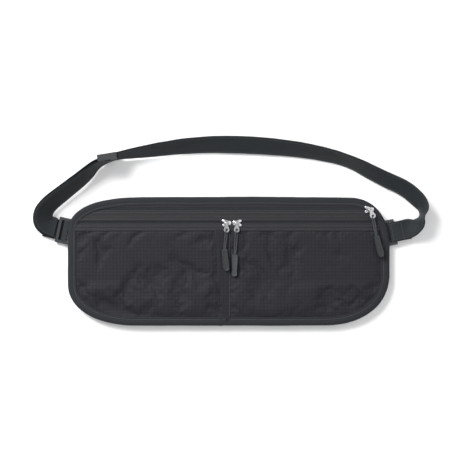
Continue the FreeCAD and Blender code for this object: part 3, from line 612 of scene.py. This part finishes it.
def steps(low, high, pitch, fine=()):
    """Grid lines from low to high; fine adds lines at those offsets inside both ends."""
    lines = set(np.linspace(low, high, max(2, int(round((high - low) / pitch)) + 1)).round(4))
    for offset in fine:
        lines.update((round(low + offset, 4), round(high - offset, 4)))
    return np.array(sorted(lines))


def sheet_mesh(name, xs, ys, height, material, thickness, body="pouch"):
    """A sheet on a grid in the plan, cut to the outline; height gives Z for arrays of X and Y."""
    grid_x, grid_y = np.meshgrid(xs, ys)
    flat_x, flat_y = grid_x.ravel(), grid_y.ravel()
    inside = depth_inside(flat_x, flat_y) > SHEET_INSET
    z = height(flat_x, flat_y)
    columns = len(xs)
    numbers = {}
    verts, uvs, faces = [], [], []

    def vertex(index):
        if index not in numbers:
            numbers[index] = len(verts)
            verts.append((flat_x[index], flat_y[index], z[index]))
            uvs.append((flat_x[index], flat_y[index]))
        return numbers[index]

    for row in range(len(ys) - 1):
        for column in range(columns - 1):
            first = row * columns + column
            corners = (first, first + 1, first + columns + 1, first + columns)
            if all(inside[c] for c in corners):
                faces.append(tuple(vertex(c) for c in corners))
    obj = mesh_object(name, verts, faces, material, body, uvs)
    if thickness:
        add_thickness(obj, thickness)
    return obj


def bump_field(x, y, scale, seed, stretch=1.0):
    """Smooth noise at arrays of points, drawn out along X by stretch."""
    return np.array([fractal(a / stretch, b, scale, seed) for a, b in zip(x, y)])


def rolled_edge(distance, radius=0.7):
    """How far a folded edge drops at a distance from its end."""
    near = np.clip(1.0 - distance / radius, 0.0, 1.0)
    return radius * (1.0 - np.sqrt(1.0 - near ** 2))


def pucker(distance, x, pitch=3.0):
    """The furrow that a row of stitches pulls into cloth."""
    return 0.22 * np.exp(-(distance / 0.7) ** 2) * (0.75 + 0.25 * np.sin(2 * math.pi * x / pitch))


SHEET_REACH = 159.0
UPPER_ZIP, LOWER_ZIP, HALF_OPENING = 51.65, 38.25, 1.45
STITCH_ROWS = (48.4, 45.0, 35.2, 32.2)
FACING_LOW = 29.9
FINE = (0.1, 0.25, 0.45, 0.7)
# where the hollows of the back and of the divider end, along X and along Y
BACK_HOLLOW = (112.0, 50.0)
DIVIDER_HOLLOW = (108.0, 46.0)
BACK_FLANGE = 6.1
DIVIDER_LOW, DIVIDER_RISE = 5.5, 1.35
MIDDLE_SEAM, SEAM_HALF = -5.2, 5.0


def top_strip_height(x, y):
    """The strip above the upper zip, with its folded edge."""
    edge = y - (UPPER_ZIP + HALF_OPENING)
    return FRONT + 0.25 - rolled_edge(edge) + 0.15 * bump_field(x, y, 9.0, 1.0, 2.5)


def middle_strip_height(x, y):
    """The strip between the zips, with both edges folded and two furrows of stitches."""
    upper = (UPPER_ZIP - HALF_OPENING) - y
    lower = y - (LOWER_ZIP + HALF_OPENING)
    roll = 0.45 * np.exp(-((lower - 1.1) / 0.9) ** 2)
    z = FRONT + 0.2 + roll - rolled_edge(upper) - rolled_edge(lower)
    for row in STITCH_ROWS[:2]:
        z -= pucker(y - row, x)
    return z + 0.16 * bump_field(x, y, 7.0, 2.0, 2.0)


def facing_height(x, y):
    """The stitched facing over the tops of the pockets."""
    upper = (LOWER_ZIP - HALF_OPENING) - y
    lower = y - FACING_LOW
    z = FRONT + 0.65 - rolled_edge(upper) - 0.6 * rolled_edge(lower)
    for row in STITCH_ROWS[2:]:
        z -= pucker(y - row, x)
    return z + 0.16 * bump_field(x, y, 6.0, 3.0, 2.0)


def back_height(x, y):
    """The rear wall: on the ground in the middle and up at the binding round it."""
    ends = smooth_step((np.abs(x) - BACK_HOLLOW[0]) / 9.0)
    sides = smooth_step((np.abs(y) - BACK_HOLLOW[1]) / 8.0)
    wrinkles = 0.5 + 0.45 * bump_field(x, y, 16.0, 4.0)
    return np.maximum(0.3 + wrinkles * (1.0 - ends), BACK_FLANGE * np.maximum(ends, sides))


def divider_height(x, y):
    """The lining behind the front pockets, sewn to the front along the middle seam."""
    ends = smooth_step((np.abs(x) - DIVIDER_HOLLOW[0]) / 9.0)
    sides = smooth_step((np.abs(y) - DIVIDER_HOLLOW[1]) / 5.0)
    seam = 1.0 - smooth_step((np.abs(x - MIDDLE_SEAM) - SEAM_HALF) / 3.0)
    wrinkles = 0.12 * bump_field(x, y, 18.0, 12.0)
    return DIVIDER_LOW + DIVIDER_RISE * np.maximum(np.maximum(ends, sides), seam) + wrinkles


def make_strips():
    """Every flat sheet but the two pockets."""
    wide = steps(-SHEET_REACH, SHEET_REACH, 1.5)
    top = sheet_mesh("top_strip", wide, steps(UPPER_ZIP + HALF_OPENING, 62.0, 1.0, FINE),
                     top_strip_height, FACING, 0.5)
    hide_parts("front_top_strip")
    middle = sheet_mesh("middle_strip", wide,
                        steps(LOWER_ZIP + HALF_OPENING, UPPER_ZIP - HALF_OPENING, 0.6, FINE),
                        middle_strip_height, FACING, 0.5)
    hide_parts("front_middle_strip")
    sheet_mesh("pocket_facing", wide, steps(FACING_LOW, LOWER_ZIP - HALF_OPENING, 0.6, FINE),
               facing_height, FACING, 0.4)
    back = sheet_mesh("back_sheet", steps(-SHEET_REACH, SHEET_REACH, 2.0), steps(-62.0, 62.0, 2.0),
                      back_height, BACKING, 0.0)
    add_thickness(back, 0.3, 1.0)
    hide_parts("back_panel")
    divider = sheet_mesh("divider_sheet", steps(-SHEET_REACH, SHEET_REACH, 3.0),
                         steps(-62.0, 47.0, 3.0), divider_height, LINING, 0.3)
    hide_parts("pocket_divider")


# the fold beside the middle seam leans from the top of the left pocket to the bottom
FOLD_LINE = ((-14.5, 30.0), (-12.5, 5.0), (-10.0, -22.0), (-6.0, -44.0), (-3.2, -60.0))


def fold_x(y):
    """The fold's X at a height in the plan."""
    rising = FOLD_LINE[::-1]
    return np.interp(y, [p[1] for p in rising], [p[0] for p in rising])


def seam_distance(x, y, side):
    """How far a point of the left (-1) or right (1) pocket is from its edge at the middle seam."""
    return fold_x(y) - x if side < 0 else x


def pocket_rest(x, y, side):
    """The pocket cloth before it is relaxed: pleats that fan down from the facing, and soft hills."""
    gather = smooth_step((y + 12.0) / 42.0)
    if side < 0:
        slant = x * 0.82 + (30.0 - y) * 0.75
        pleats = np.sin(slant / 2.6 + 1.4 * np.sin(x / 17.0)) * smooth_step((-8.0 - x) / 60.0)
        band = np.exp(-((x * 0.62 - y * 0.78 + 62.0) / 9.0) ** 2) * 1.1
        band -= np.exp(-((x * 0.45 + y * 0.9 + 96.0) / 9.0) ** 2) * 1.2
    else:
        slant = x * 0.9 - (30.0 - y) * 0.12
        pleats = np.sin(slant / 3.4 + 1.2 * np.sin(x / 21.0)) * smooth_step((120.0 - x) / 60.0)
        band = np.exp(-((x * 0.55 - y * 0.83 - 68.0) / 11.0) ** 2) * 1.3
        band -= np.exp(-((x * 0.75 + y * 0.66 - 92.0) / 9.0) ** 2) * 0.9
    hills = 1.3 * bump_field(x, y, 26.0, 7.0 + side) + 0.45 * bump_field(x, y, 9.0, 9.0 + side)
    return 1.0 * pleats * gather + 1.25 * hills + 1.3 * band


CLOTH_FRAMES = 24


def relax_cloth(obj, pinned):
    """Lets slightly oversized cloth, pinned at the given points and pushed out by pressure, settle into its
    own folds.
    """
    group = obj.vertex_groups.new(name="pinned")
    group.add([int(i) for i in np.flatnonzero(pinned)], 1.0, "REPLACE")
    cloth = obj.modifiers.new("cloth", "CLOTH")
    settings = cloth.settings
    settings.quality = 6
    settings.mass = 0.12
    settings.tension_stiffness = 12.0
    settings.compression_stiffness = 12.0
    settings.bending_stiffness = 0.35
    settings.vertex_group_mass = "pinned"
    settings.shrink_min = -0.035
    settings.use_pressure = True
    settings.uniform_pressure_force = 0.25
    settings.effector_weights.gravity = 0.0
    cloth.point_cache.frame_start = 1
    cloth.point_cache.frame_end = CLOTH_FRAMES
    scene = bpy.context.scene
    for number in range(1, CLOTH_FRAMES + 1):
        scene.frame_set(number)
    bpy.context.view_layer.update()
    shown = obj.evaluated_get(bpy.context.evaluated_depsgraph_get())
    settled = np.array([v.co for v in shown.data.vertices])
    obj.modifiers.remove(cloth)
    obj.data.vertices.foreach_set("co", settled.ravel())
    scene.frame_set(1)


def pocket_panel(side):
    """One front pocket, relaxed, then held between the lining and the pulls."""
    pitch = 1.6
    xs = steps(-SHEET_REACH, -1.0, pitch) if side < 0 else steps(-0.6, SHEET_REACH, pitch)
    ys = steps(-62.0, FACING_LOW + 3.0, pitch)

    def height(x, y):
        depth = depth_inside(x, y)
        free = smooth_step((depth - BINDING_WIDTH) / 7.0) * smooth_step((FACING_LOW + 0.5 - y) / 4.0)
        free *= smooth_step(seam_distance(x, y, side) / 8.0)
        return FRONT + free * (0.8 + pocket_rest(x, y, side))

    name = "pocket_left" if side < 0 else "pocket_right"
    panel = sheet_mesh(name, xs, ys, height, POCKET, 0.0, body=None)
    start = np.array([v.co for v in panel.data.vertices]) / MM
    x, y = start[:, 0], start[:, 1]
    depth = depth_inside(x, y)
    pinned = (depth < BINDING_WIDTH + 0.5) | (y > FACING_LOW - 0.3) | (seam_distance(x, y, side) < 0.8)
    relax_cloth(panel, pinned)
    settled = np.array([v.co for v in panel.data.vertices]) / MM
    limit = 1.15 + 1.9 * smooth_step((-18.0 - y) / 10.0) * smooth_step((depth - 8.5) / 12.0)
    lift = settled[:, 2] - FRONT
    sunk = 1.3 * np.tanh(lift / 1.3)
    settled[:, 2] = FRONT + np.where(lift > 0.0, limit * np.tanh(lift / limit), sunk)
    panel.data.vertices.foreach_set("co", (settled * MM).ravel())
    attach(panel, "pouch")
    smooth = panel.modifiers.new("smooth", "SUBSURF")
    smooth.levels = smooth.render_levels = 1
    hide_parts("front_panel_left" if side < 0 else "front_panel_right")


def make_seam_strip():
    """The flap of cloth folded over beside the middle seam."""
    rows = steps(-60.0, FACING_LOW + 2.0, 1.2)
    shares = (0.0, 0.04, 0.1, 0.2, 0.35, 0.5, 0.65, 0.8, 0.9, 1.0)
    rises = (-0.6, 0.1, 0.5, 0.55, 0.4, 0.25, 0.2, 0.15, 0.0, -0.35)
    verts, uvs, faces = [], [], []
    for y in rows:
        left, right = fold_x(y) - 1.2, 0.6
        for share, rise in zip(shares, rises):
            x = left + share * (right - left)
            z = FRONT + 0.45 + rise + 0.18 * fractal(x * 2.0, y, 9.0, 11.0)
            verts.append((x, y, z))
            uvs.append((x + 40.0, y))
    columns = len(shares)
    for row in range(len(rows) - 1):
        for column in range(columns - 1):
            first = row * columns + column
            faces.append((first, first + 1, first + columns + 1, first + columns))
    strip = mesh_object("seam_fold", verts, faces, POCKET, "pouch", uvs)
    add_thickness(strip, 0.3)
    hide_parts("centre_strip")


# ---------------------------------------------------------------- binding and stitching
# the folded tape's section: how far in from the outer edge, and Z
BINDING_SECTION = (
    (8.5, 8.9), (8.45, 9.3), (8.1, 9.55), (7.2, 9.45), (6.2, 9.3), (5.2, 9.55), (3.4, 9.75), (1.7, 9.6),
    (0.55, 9.05), (0.0, 7.9), (0.25, 6.9), (1.0, 6.1), (2.6, 5.7), (5.5, 5.6), (8.0, 5.75), (8.5, 6.1),
)
BINDING_STITCH = 6.2


def make_binding():
    """The folded tape all round the pouch, a little uneven as sewn tape is."""
    rounds = len(OUTLINE)
    reach = lengths_along(np.array(BINDING_SECTION))
    verts, uvs = [], []
    for index in range(rounds + 1):
        x, y = OUTLINE[index % rounds]
        normal = NORMALS[index % rounds]
        along = OUTLINE_STATIONS[index] if index < rounds else OUTLINE_STATIONS[-1] + OUTLINE_SPACING
        swell = 0.16 * fractal(x, y, 7.0, 21.0)
        drift = 0.3 * fractal(x, y, 24.0, 22.0)
        for step, (inset, z) in enumerate(BINDING_SECTION):
            shift = inset + (drift if inset > 4.0 else 0.0)
            rise = swell * (1.0 if z > 8.0 else 0.0) * (1.0 if inset < 7.5 else 0.4)
            verts.append((x - normal[0] * shift, y - normal[1] * shift, z + rise))
            uvs.append((along, reach[step]))
    faces = ring_walls(rounds + 1, len(BINDING_SECTION))
    binding = mesh_object("binding_tape_edge", verts, faces, BINDING, "pouch", uvs)
    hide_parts("edge_binding")


def make_stitching():
    """Every row of stitches on the pouch."""
    around = OUTLINE - NORMALS * BINDING_STITCH
    around = np.vstack([around, around[:1]])
    sewn("binding", [(x, y, 9.42) for x, y in around])
    for number, row in enumerate(STITCH_ROWS):
        xs = np.arange(-157.0, 157.0, 1.0)
        xs = xs[depth_inside(xs, np.full_like(xs, row)) > BINDING_WIDTH - 1.0]
        height = middle_strip_height if row > LOWER_ZIP else facing_height
        heights = height(xs, np.full_like(xs, row)) + 0.12
        kernel = np.ones(3) / 3.0
        heights = np.convolve(np.pad(heights, 1, mode="edge"), kernel, "valid")
        sewn(f"row{number}", list(zip(xs, np.full_like(xs, row), heights)))
    sewn("seam", [(0.1, y, FRONT + 0.62) for y in np.arange(-54.5, 29.0, 1.0)])
    make_tacks()


# each bar tack: the X and Y of its middle, and its length
TACKS = ((-141.4, 29.4, 2.6), (134.6, 29.2, 2.2), (6.5, 52.4, 2.4))


def make_tacks():
    """Bar tacks where the zips and the pockets end."""
    gap = 0.3
    for number, (x, y, reach) in enumerate(TACKS):
        line = [(x - reach / 2.0 + step * gap, y, FRONT + 0.75) for step in range(int(reach / gap) + 1)]
        stitch_row(f"bar_tack{number}", line, pitch=0.5, length=0.9, radius=0.3, material=DARK_THREAD_AND_HOLE_SHADE)


JOIN_X = -8.9


def make_binding_join():
    """The end of the binding folded over where it meets itself."""
    half = 1.5
    verts, uvs = [], []
    section = [(inset, z + (0.4 if z > 8.0 else -0.05)) for inset, z in BINDING_SECTION]
    outer = [(inset - 0.35 if inset < 2.0 else inset + 0.3, z) for inset, z in section]
    line = int(np.argmin(np.hypot(OUTLINE[:, 0] - JOIN_X, OUTLINE[:, 1] - LOW_EDGE)))
    x, y = OUTLINE[line]
    normal = NORMALS[line]
    along = np.array((-normal[1], normal[0]))
    for offset, drop in ((-half, 0.3), (-half + 0.35, 0.0), (half - 0.35, 0.0), (half, 0.3)):
        for step, (inset, z) in enumerate(outer):
            spot = np.array((x, y)) - normal * (inset + drop * 0.3) + along * offset
            verts.append((spot[0], spot[1], z - drop if z > 8.0 else z + drop))
            uvs.append((offset, step * 1.2))
    size = (4, len(outer))
    mesh_object("binding_join", verts, ring_walls(*size) + end_caps(*size), BINDING, "pouch", uvs)


# ---------------------------------------------------------------- zips
ZIP_TUCK = 5.0


def zip_ends(centre):
    """Where a zip's line runs under the binding."""
    xs = np.arange(-158.0, 158.0, 0.5)
    under = xs[depth_inside(xs, np.full_like(xs, centre)) > ZIP_TUCK]
    return under[0], under[-1]


def tape_half(name, y_near, y_far, centre):
    """One tape, which turns down a little at the coil."""
    shares = (0.0, 0.08, 0.2, 0.5, 1.0)
    drops = (0.45, 0.12, 0.0, 0.0, 0.05)
    xs = steps(*zip_ends(centre), 2.0)
    verts, uvs, faces = [], [], []
    for x in xs:
        sway = 0.18 * fractal(x, centre, 30.0, 31.0)
        for share, drop in zip(shares, drops):
            y = y_near + share * (y_far - y_near)
            verts.append((x, y + sway, 8.8 - drop))
            uvs.append((x, y))
    columns = len(shares)
    for row in range(len(xs) - 1):
        for column in range(columns - 1):
            first = row * columns + column
            face = (first, first + columns, first + columns + 1, first + 1)
            faces.append(face if y_far > y_near else face[::-1])
    return mesh_object(name, verts, faces, ZIP_TAPE, "pouch", uvs)


def coil_row(name, centre):
    """The interlocked turns of a reversed coil, seen between the tapes."""
    verts, faces, uvs = [], [], []
    box = ((-0.5, -0.5), (0.5, -0.5), (0.5, 0.5), (-0.5, 0.5))
    low, high = zip_ends(centre)
    for count, x in enumerate(np.arange(low + 1.0, high - 1.0, 0.75)):
        sway = 0.18 * fractal(x, centre, 30.0, 31.0)
        lean = 0.25 if count % 2 else -0.25
        first = len(verts)
        for z, fat in ((7.9, 1.0), (8.35, 1.0), (8.5, 0.55)):
            for a, b in box:
                verts.append((x + a * 0.5 * fat, centre + sway + b * 1.5 * fat + lean * 0.3, z))
                uvs.append((x, b))
        faces.extend(ring_walls(3, 4, first))
        faces.append((first + 8, first + 9, first + 10, first + 11))
        faces.append((first + 3, first + 2, first + 1, first))
    return mesh_object(name, verts, faces, COIL, "pouch", uvs)


def make_zip(prefix, centre):
    """Two tapes with the coil between them."""
    near, far = 0.28, 3.4
    above = tape_half(f"{prefix}_tape_above", centre + near, centre + far, centre)
    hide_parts(f"{prefix}_zip_tape")
    tape_half(f"{prefix}_tape_below", centre - near, centre - far, centre)
    coil = coil_row(f"{prefix}_coil", centre)
    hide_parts(f"{prefix}_zip_coil")


def make_stops():
    """The stops that end both zips, tucked under the binding."""
    verts, faces = [], []
    for centre in (UPPER_ZIP, LOWER_ZIP):
        low, high = zip_ends(centre)
        for x in (low + 1.6, high - 1.6):
            loop = rounded_loop(((-0.8, -1.6), (0.8, -1.6), (0.8, 1.6), (-0.8, 1.6)))
            stop = layered_solid(loop, ((8.55, 0.9), (8.7, 1.0), (9.05, 1.0), (9.2, 0.85)), (x, centre))
            verts, faces = joined((verts, faces), stop)
    stops = mesh_object("zip_end_stops", verts, faces, COIL, "pouch")
    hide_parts("zip_stops")


# ---------------------------------------------------------------- sliders and pulls
SLIDER_OUTLINE = (
    (4.3, -1.6), (4.5, 0.0), (4.3, 1.6), (3.2, 2.3), (0.5, 2.4), (-1.5, 3.2), (-3.4, 3.5), (-4.6, 2.7),
    (-4.4, 1.3), (-3.1, 0.6), (-2.9, 0.0), (-3.1, -0.6), (-4.4, -1.3), (-4.6, -2.7), (-3.4, -3.5),
    (-1.5, -3.2), (0.5, -2.4), (3.2, -2.3),
)


def rounded_loop(points):
    """A closed loop with its corners cut twice."""
    points = np.array(points, float)
    for _ in range(2):
        following = np.roll(points, -1, axis=0)
        points = np.stack([0.75 * points + 0.25 * following,
                           0.25 * points + 0.75 * following], axis=1).reshape(-1, 2)
    return points


def layered_solid(loop, levels, centre=(0.0, 0.0)):
    """A capped solid from one loop; levels are (z, scale) pairs from low to high."""
    verts = []
    count = len(loop)
    for z, scale in levels:
        verts.extend((centre[0] + x * scale, centre[1] + y * scale, z) for x, y in loop)
    faces = ring_walls(len(levels), count)
    for level, (z, _), order in ((0, levels[0], -1), (len(levels) - 1, levels[-1], 1)):
        middle = len(verts)
        verts.append((centre[0], centre[1], z))
        for corner in range(count):
            following = (corner + 1) % count
            edge = (level * count + corner, level * count + following)
            faces.append((edge[0], edge[1], middle) if order > 0 else (edge[1], edge[0], middle))
    return verts, faces


def swept_tube(points, radius, sides=12):
    """A round tube along points; radius is one number or one for each point."""
    points = np.array(points, float)
    radii = np.broadcast_to(np.array(radius, float), (len(points),))
    forward = np.gradient(points, axis=0)
    forward /= np.linalg.norm(forward, axis=1)[:, None]
    verts, uvs = [], []
    side = np.cross(forward[0], (0.31, 0.17, 0.93))
    along = lengths_along(points)
    for index, point in enumerate(points):
        side = side - forward[index] * side.dot(forward[index])
        side /= np.linalg.norm(side)
        other = np.cross(forward[index], side)
        for corner in range(sides):
            turn = 2.0 * math.pi * corner / sides
            verts.append(tuple(point + radii[index] * (side * math.cos(turn) + other * math.sin(turn))))
            uvs.append((along[index], turn * radii[index]))
    caps = [cap[::-1] for cap in end_caps(len(points), sides)]
    return verts, ring_walls(len(points), sides) + caps, uvs


def joined(*parts):
    """Several (verts, faces) as one."""
    verts, faces = [], []
    for part_verts, part_faces in parts:
        start = len(verts)
        verts.extend(part_verts)
        faces.extend(tuple(start + i for i in face) for face in part_faces)
    return verts, faces


def make_slider(prefix, x, y, pivot, mirror):
    """A cast slider: two plates, the post between them and the crown over the top."""
    loop = rounded_loop([(mirror * a, b) for a, b in SLIDER_OUTLINE[::mirror]])
    top = layered_solid(loop, ((9.2, 0.93), (9.35, 1.0), (9.85, 1.0), (10.1, 0.9)), (x, y))
    foot = layered_solid(loop, ((7.1, 0.78), (7.6, 0.8)), (x, y))
    post = layered_solid(rounded_loop(((1, -0.4), (1, 0.4), (-1, 0.4), (-1, -0.4))),
                         ((7.4, 1.0), (9.4, 1.0)), (x, y))
    rise = pivot + 0.25
    leg = ((2.3, 9.7), (2.25, 0.5 * (9.7 + rise)), (1.95, rise - 0.35), (1.5, rise))
    arch = [(x - a, y, z) for a, z in leg] + [(x, y, rise + 0.05)]
    arch += [(x + a, y, z) for a, z in reversed(leg)]
    crown = swept_tube(arch, 0.55)[:2]
    verts, faces = joined(top, foot, post, crown)
    slider = mesh_object(f"{prefix}_slider_cast", verts, faces, METAL, f"{prefix}_slider")
    shade_edges(slider)
    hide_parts(f"{prefix}_slider")


def shade_edges(obj, angle=40.0):
    """Sharp shading on edges that turn more than an angle, in degrees."""
    obj.data.set_sharp_from_angle(angle=math.radians(angle))


# how far along the puller, half its width there, and half its hole's width
PULLER_STATIONS = (
    (-1.1, 0.9, 0.0), (-0.8, 1.3, 0.0), (0.0, 1.45, 0.0), (1.0, 1.4, 0.0), (2.4, 1.5, 0.0),
    (3.8, 2.0, 0.0), (4.9, 2.5, 0.0), (5.5, 2.7, 0.0), (5.7, 2.75, 0.62), (6.1, 2.85, 1.0),
    (6.8, 2.9, 1.25), (7.5, 2.85, 1.0), (7.9, 2.75, 0.62), (8.1, 2.6, 0.0), (8.7, 2.2, 0.0),
    (9.1, 1.6, 0.0), (9.35, 0.8, 0.0),
)


def plan_frame(x, y, angle):
    """A function that turns (along, side, z) into a point; along runs down the pull."""
    turn = math.radians(angle)
    along = (math.sin(turn), -math.cos(turn))
    side = (math.cos(turn), math.sin(turn))
    return lambda a, s, z: (x + along[0] * a + side[0] * s, y + along[1] * a + side[1] * s, z)


def make_puller(prefix, place, pivot):
    """A stamped puller: a neck on the crown and a rounded plate with an eye."""
    half = 0.45
    verts, faces = [], []
    for along, width, hole in PULLER_STATIONS:
        for side in (-1, 1):
            for z in (pivot - half, pivot + half):
                verts.append(place(along, side * hole, z))
                verts.append(place(along, side * (width - 0.18), z))
                verts.append(place(along, side * width, z * 0.35 + pivot * 0.65))
    row = 12
    last = len(PULLER_STATIONS) - 1
    for index in range(last):
        here, there = index * row, (index + 1) * row
        for base, flip in ((0, True), (6, False)):
            low, high = base, base + 3
            strips = [(low + 1, low), (low + 2, low + 1), (high + 2, low + 2), (high + 1, high + 2),
                      (high, high + 1)]
            if PULLER_STATIONS[index][2] or PULLER_STATIONS[index + 1][2]:
                strips.append((low, high))
            for a, b in strips:
                face = (here + a, here + b, there + b, there + a)
                faces.append(face[::-1] if flip else face)
    for index, flip in ((0, False), (last, True)):
        base = index * row
        cap = (base + 1, base + 2, base + 5, base + 4, base + 10, base + 11, base + 8, base + 7)
        faces.append(cap[::-1] if flip else cap)
    puller = mesh_object(f"{prefix}_puller_plate", verts, faces, METAL, f"{prefix}_puller")
    recalculate(puller)
    shade_edges(puller, 50.0)
    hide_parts(f"{prefix}_puller")


def recalculate(obj):
    """Merges shared points and turns every face outwards."""
    work = bmesh.new()
    work.from_mesh(obj.data)
    bmesh.ops.remove_doubles(work, verts=work.verts, dist=1e-6)
    bmesh.ops.recalc_face_normals(work, faces=work.faces)
    work.to_mesh(obj.data)
    work.free()


# from the grip through the eye and back: the share of the way to the grip, the sideways shift and the rise
CORD_LOOP = (
    (1.0, -0.62, 0.0), (0.75, -0.8, 0.05), (0.45, -0.95, 0.15), (0.2, -0.95, 0.6), (0.1, -0.8, 1.05),
    (0.02, -0.45, 0.9), (-0.03, 0.0, 0.0), (0.02, 0.45, -0.9), (0.1, 0.8, -1.0), (0.2, 0.95, -0.55),
    (0.45, 0.95, 0.1), (0.75, 0.8, 0.05), (1.0, 0.62, 0.0),
)


def make_pull_cord(prefix, start, finish, pivot):
    """A doubled cord looped through the puller's eye; start is the eye, finish the grip's top."""
    begin, end = np.array(start), np.array(finish)
    reach = np.linalg.norm(end - begin)
    forward = (end - begin) / reach
    side = np.array((-forward[1], forward[0]))
    line = []
    for share, offset, rise in CORD_LOOP:
        spot = begin + forward * share * reach + side * offset
        line.append((spot[0], spot[1], pivot + rise))
    smooth = spline_points(f"{prefix}_cord_line", line, 6)
    verts, faces, uvs = swept_tube(smooth, 0.55, 10)
    cord = mesh_object(f"{prefix}_cord_loop", verts, faces, CORD, f"{prefix}_pull", uvs)
    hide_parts(f"{prefix}_pull_cord")


# grips: how far down, and half the width there
BROAD_SHAPE = ((0.0, 2.3), (0.3, 2.75), (1.2, 3.0), (4.0, 3.1), (9.0, 3.25), (14.0, 3.4), (17.0, 3.4),
              (18.8, 3.2), (20.2, 2.65), (21.2, 1.9), (21.9, 0.9), (22.1, 0.4))
SLIM_SHAPE = ((0.0, 2.4), (0.3, 2.9), (1.0, 3.05), (4.0, 3.05), (9.0, 2.9), (13.0, 2.7), (15.5, 2.55),
              (17.5, 2.75), (19.5, 2.85), (20.8, 2.4), (21.6, 1.6), (22.0, 0.6))


# a grip's upper half across its width: the share of the half width, and the share of the half thickness
GRIP_SECTION = (
    (-1.0, 0.0), (-0.97, 0.62), (-0.88, 1.0), (-0.78, 1.0), (-0.66, 0.72), (-0.3, 0.7), (0.0, 0.7),
    (0.3, 0.7), (0.66, 0.72), (0.78, 1.0), (0.88, 1.0), (0.97, 0.62), (1.0, 0.0),
)
GRIP_HALF = 1.25
GRIP_FACE = 0.8


def end_rise(across, rise):
    """The section near a grip's ends, where its flat face comes up to the rim."""
    if rise and abs(across) < GRIP_FACE:
        return math.copysign(max(abs(rise), 0.95), rise)
    return rise


def make_grip(prefix, place, pivot, shape, material):
    """A moulded grip with a raised rim round a flat face on both sides."""
    section = list(GRIP_SECTION) + [(a, -r) for a, r in GRIP_SECTION[-2:0:-1]]
    knots = [p[0] for p in shape]
    stations = sorted(set(np.linspace(0.0, knots[-1], 40).round(3)) | set(knots))
    verts = []
    for along in stations:
        width = np.interp(along, knots, [p[1] for p in shape])
        end = min(1.0, 0.35 + min(along, knots[-1] - along) * 0.8)
        dished = 1.0 < along < knots[-1] - 1.3
        for across, rise in section:
            share = rise if dished else end_rise(across, rise)
            verts.append(place(along, across * width, pivot + share * GRIP_HALF * end))
    size = (len(stations), len(section))
    faces = ring_walls(*size) + end_caps(*size)
    grip = mesh_object(f"{prefix}_grip_moulding", verts, faces, material, f"{prefix}_pull")
    recalculate(grip)
    shade_edges(grip, 60.0)
    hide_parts(f"{prefix}_pull_grip")


# each pull: the slider, its pivot's height, the puller's angle, the cord's ends, the grip's top,
# the grip's angle, shape and material, and 1 or -1 for the way the slider faces
PULLS = {
    "upper": ((139.5, UPPER_ZIP), 14.2, 24.0, (146.0, 24.6), 14.0, BROAD_SHAPE, GRIP, 1),
    "left": ((-2.7, LOWER_ZIP), 11.55, -1.0, (-4.9, 11.2), 6.0, BROAD_SHAPE, GRIP, 1),
    "right": ((7.6, LOWER_ZIP), 11.55, -3.0, (5.4, 5.9), -1.5, SLIM_SHAPE, SLIM_GRIP, -1),
}
EYE = 6.9
CORD_TUCK = 0.9


def make_pulls():
    """The three sliders, each with its puller, cord and grip."""
    for prefix, (place, pivot, angle, top, grip_angle, shape, material, mirror) in PULLS.items():
        make_slider(prefix, place[0], place[1], pivot, mirror)
        plate = plan_frame(place[0], place[1], angle)
        make_puller(prefix, plate, pivot)
        eye = plate(EYE, 0.0, pivot)[:2]
        make_pull_cord(prefix, eye, top, pivot)
        hold = plan_frame(top[0], top[1], grip_angle)
        make_grip(prefix, lambda a, s, z: hold(a - CORD_TUCK, s, z), pivot, shape, material)


# ---------------------------------------------------------------- carried-over CAD pieces
def paint(node, material):
    """A new finish on a piece whose CAD shape is kept."""
    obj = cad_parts[node]
    obj.data.materials.clear()
    obj.data.materials.append(material)


def paint_cad():
    """The finishes of the hardware and of the flat webbing ends."""
    for node in ("buckle_male", "buckle_prong_upper", "buckle_prong_lower", "buckle_female",
                 "tri_glide"):
        paint(node, PLASTIC)
    paint("strap_ring", RING_PLASTIC)
    for node in ("buckle_tab", "ring_tab", "strap_sewn_loop", "strap_end_left", "strap_end_right"):
        paint(node, TAB_TAPE)


make_end_stitching(*make_strap())
make_return()
make_strips()
for side in (-1, 1):
    pocket_panel(side)
make_seam_strip()
make_binding()
make_binding_join()
make_stitching()
make_zip("upper", UPPER_ZIP)
make_zip("lower", LOWER_ZIP)
make_stops()
make_pulls()
paint_cad()
